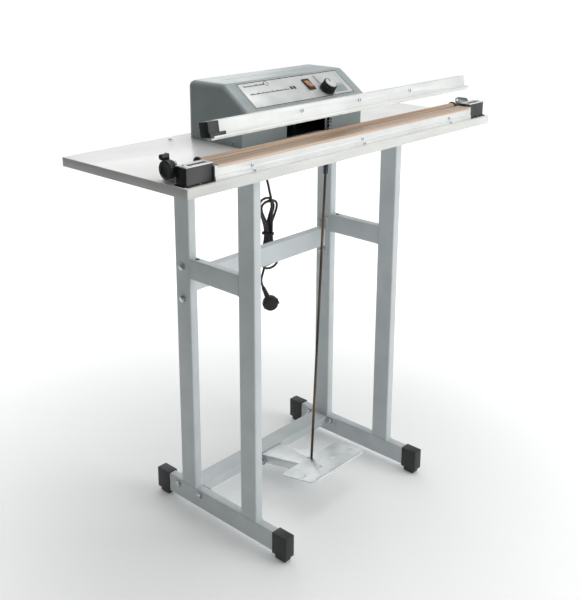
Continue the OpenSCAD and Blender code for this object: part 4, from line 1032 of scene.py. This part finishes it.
EDGE = 0.0020
for k, down in enumerate((PLATE_TOP + 0.002, PLATE_FOOT - 0.002)):
    ink("border_long_%d" % k, 0, down, 2 * plate_half - 0.005, EDGE)
for k, side in enumerate((-1, 1)):
    ink("border_short_%d" % k, side * (plate_half - 0.002), plate_mid, EDGE, PLATE_FOOT - PLATE_TOP - 0.004)
KNOB_X, KNOB_DOWN = 0.078, 0.058
for k in range(11):
    angle = math.radians(225 - 27 * k)
    x = KNOB_X + 0.0205 * math.cos(angle)
    down = KNOB_DOWN - 0.0205 * math.sin(angle)
    if down < PLATE_FOOT - 0.004:
        ink("scale_tick_%d" % k, x, down, 0.0034, 0.0007, None, angle)
ring_of_ink("scale_arc", KNOB_X, KNOB_DOWN, 0.0186, 0.0190, -20, 200)
for k, x in enumerate((0.0705, 0.0745)):
    ink("print_line_%d" % k, x, 0.025, 0.0014, 0.024)
ink("print_block", 0.120, 0.060, 0.040, 0.020, grey_ink)
ink("print_block_rule", 0.120, 0.0465, 0.040, 0.0010)


def row_of_dashes(name, start, end, down, height):
    """A row of short dashes of uneven width and height, as far print reads."""
    x, k = start, 0
    chance = random.Random(name)
    while x < end:
        width = chance.uniform(0.0016, 0.0042)
        tall = height * chance.choice((0.65, 0.65, 1.0))
        ink("%s_%02d" % (name, k), x + width / 2, down + (height - tall) / 2, width, tall)
        x, k = x + width + 0.0011, k + 1


row_of_dashes("upper_print", -0.141, -0.086, 0.0156, 0.0044)
ring_of_ink("print_ring", -0.0765, 0.0150, 0.0048, 0.0062, 0, 360)
row_of_dashes("lower_print", -0.141, -0.026, 0.0390, 0.0040)
for k, x in enumerate((-0.0180, -0.0085)):
    ink("print_heading_%d" % k, x, 0.0375, 0.0070, 0.0085)
for k, x in enumerate((-0.029, 0.042)):
    dot = turned("plate_rivet_%d" % k, [(0.0016, 0), (0.0016, 0.0006), (0.0008, 0.001)],
                 on_slope(x, PLATE_TOP + 0.002, PLATE_T), slope_out, 16)
    finish_piece(dot, "stand", black_abs)
print("control plate made")

# %% [markdown]
# The switch is a rocker in a black frame with a tinted clear key. The dial is a fluted black
# knob on a skirt, with a grey cap and a pointer line.

# %% Switch and dial
soften("switch_body", 0.0003, "stand", black_abs)
soften("switch_rocker", 0.0003, "rocker", amber, 3)
FLUTES = 18
knob_at = on_slope(KNOB_X, KNOB_DOWN, 0.0016)
skirt = turned("dial_skirt", [(0.0165, 0), (0.0175, 0.0006), (0.0175, 0.0040), (0.0168, 0.0050),
                              (0.0150, 0.0054)], knob_at, slope_out, 64)
finish_piece(skirt, "knob", black_abs, ["timer_knob"])
rim = []
for k in range(FLUTES * 8):
    angle = 2 * math.pi * k / (FLUTES * 8)
    r = 0.0151 + 0.0007 * math.tanh(2.5 * math.cos(FLUTES * angle))
    rim.append((r * math.cos(angle), r * math.sin(angle)))
barrel = slab("dial_barrel", rim, 0.0136, knob_at + slope_out * 0.005, ACROSS, slope_up, 0.0007)
sharpen(barrel, 50)
finish_piece(barrel, "knob", black_abs)
cap = turned("dial_cap", [(0.0132, 0.0180), (0.0132, 0.0192), (0.0126, 0.0198), (0.0060, 0.0195),
                          (0.0010, 0.0194)], knob_at, slope_out, 64)
finish_piece(cap, "knob", grey_abs)
pointer = slab("dial_pointer", rectangle(0.0016, 0.0090, 0.0007, 3), 0.0008, knob_at + slope_out * 0.0192
               + slope_up * 0.0070, ACROSS, slope_up)
finish_piece(pointer, "knob", black_abs)

# %% [markdown]
# ## Parts that keep their frame shape
# Thin strips, cloth and the pieces inside the housing are right as they are. They only need
# their own material.

# %% Paint the remaining frame parts
kept = {"insulation_strip": rolled_cloth, "heating_element": element_metal, "ptfe_cloth": bed_cloth,
        "cloth_roll": rolled_cloth, "left_terminal_block": brown_resin, "right_terminal_block": brown_resin,
        "timer_board": green_board, "transformer": dark_steel, "start_switch": black_abs,
        "start_plunger": red_abs}
for name, mat in kept.items():
    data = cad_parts[name].data
    data.materials.clear()
    data.materials.append(mat)
print("kept parts:", len(kept))
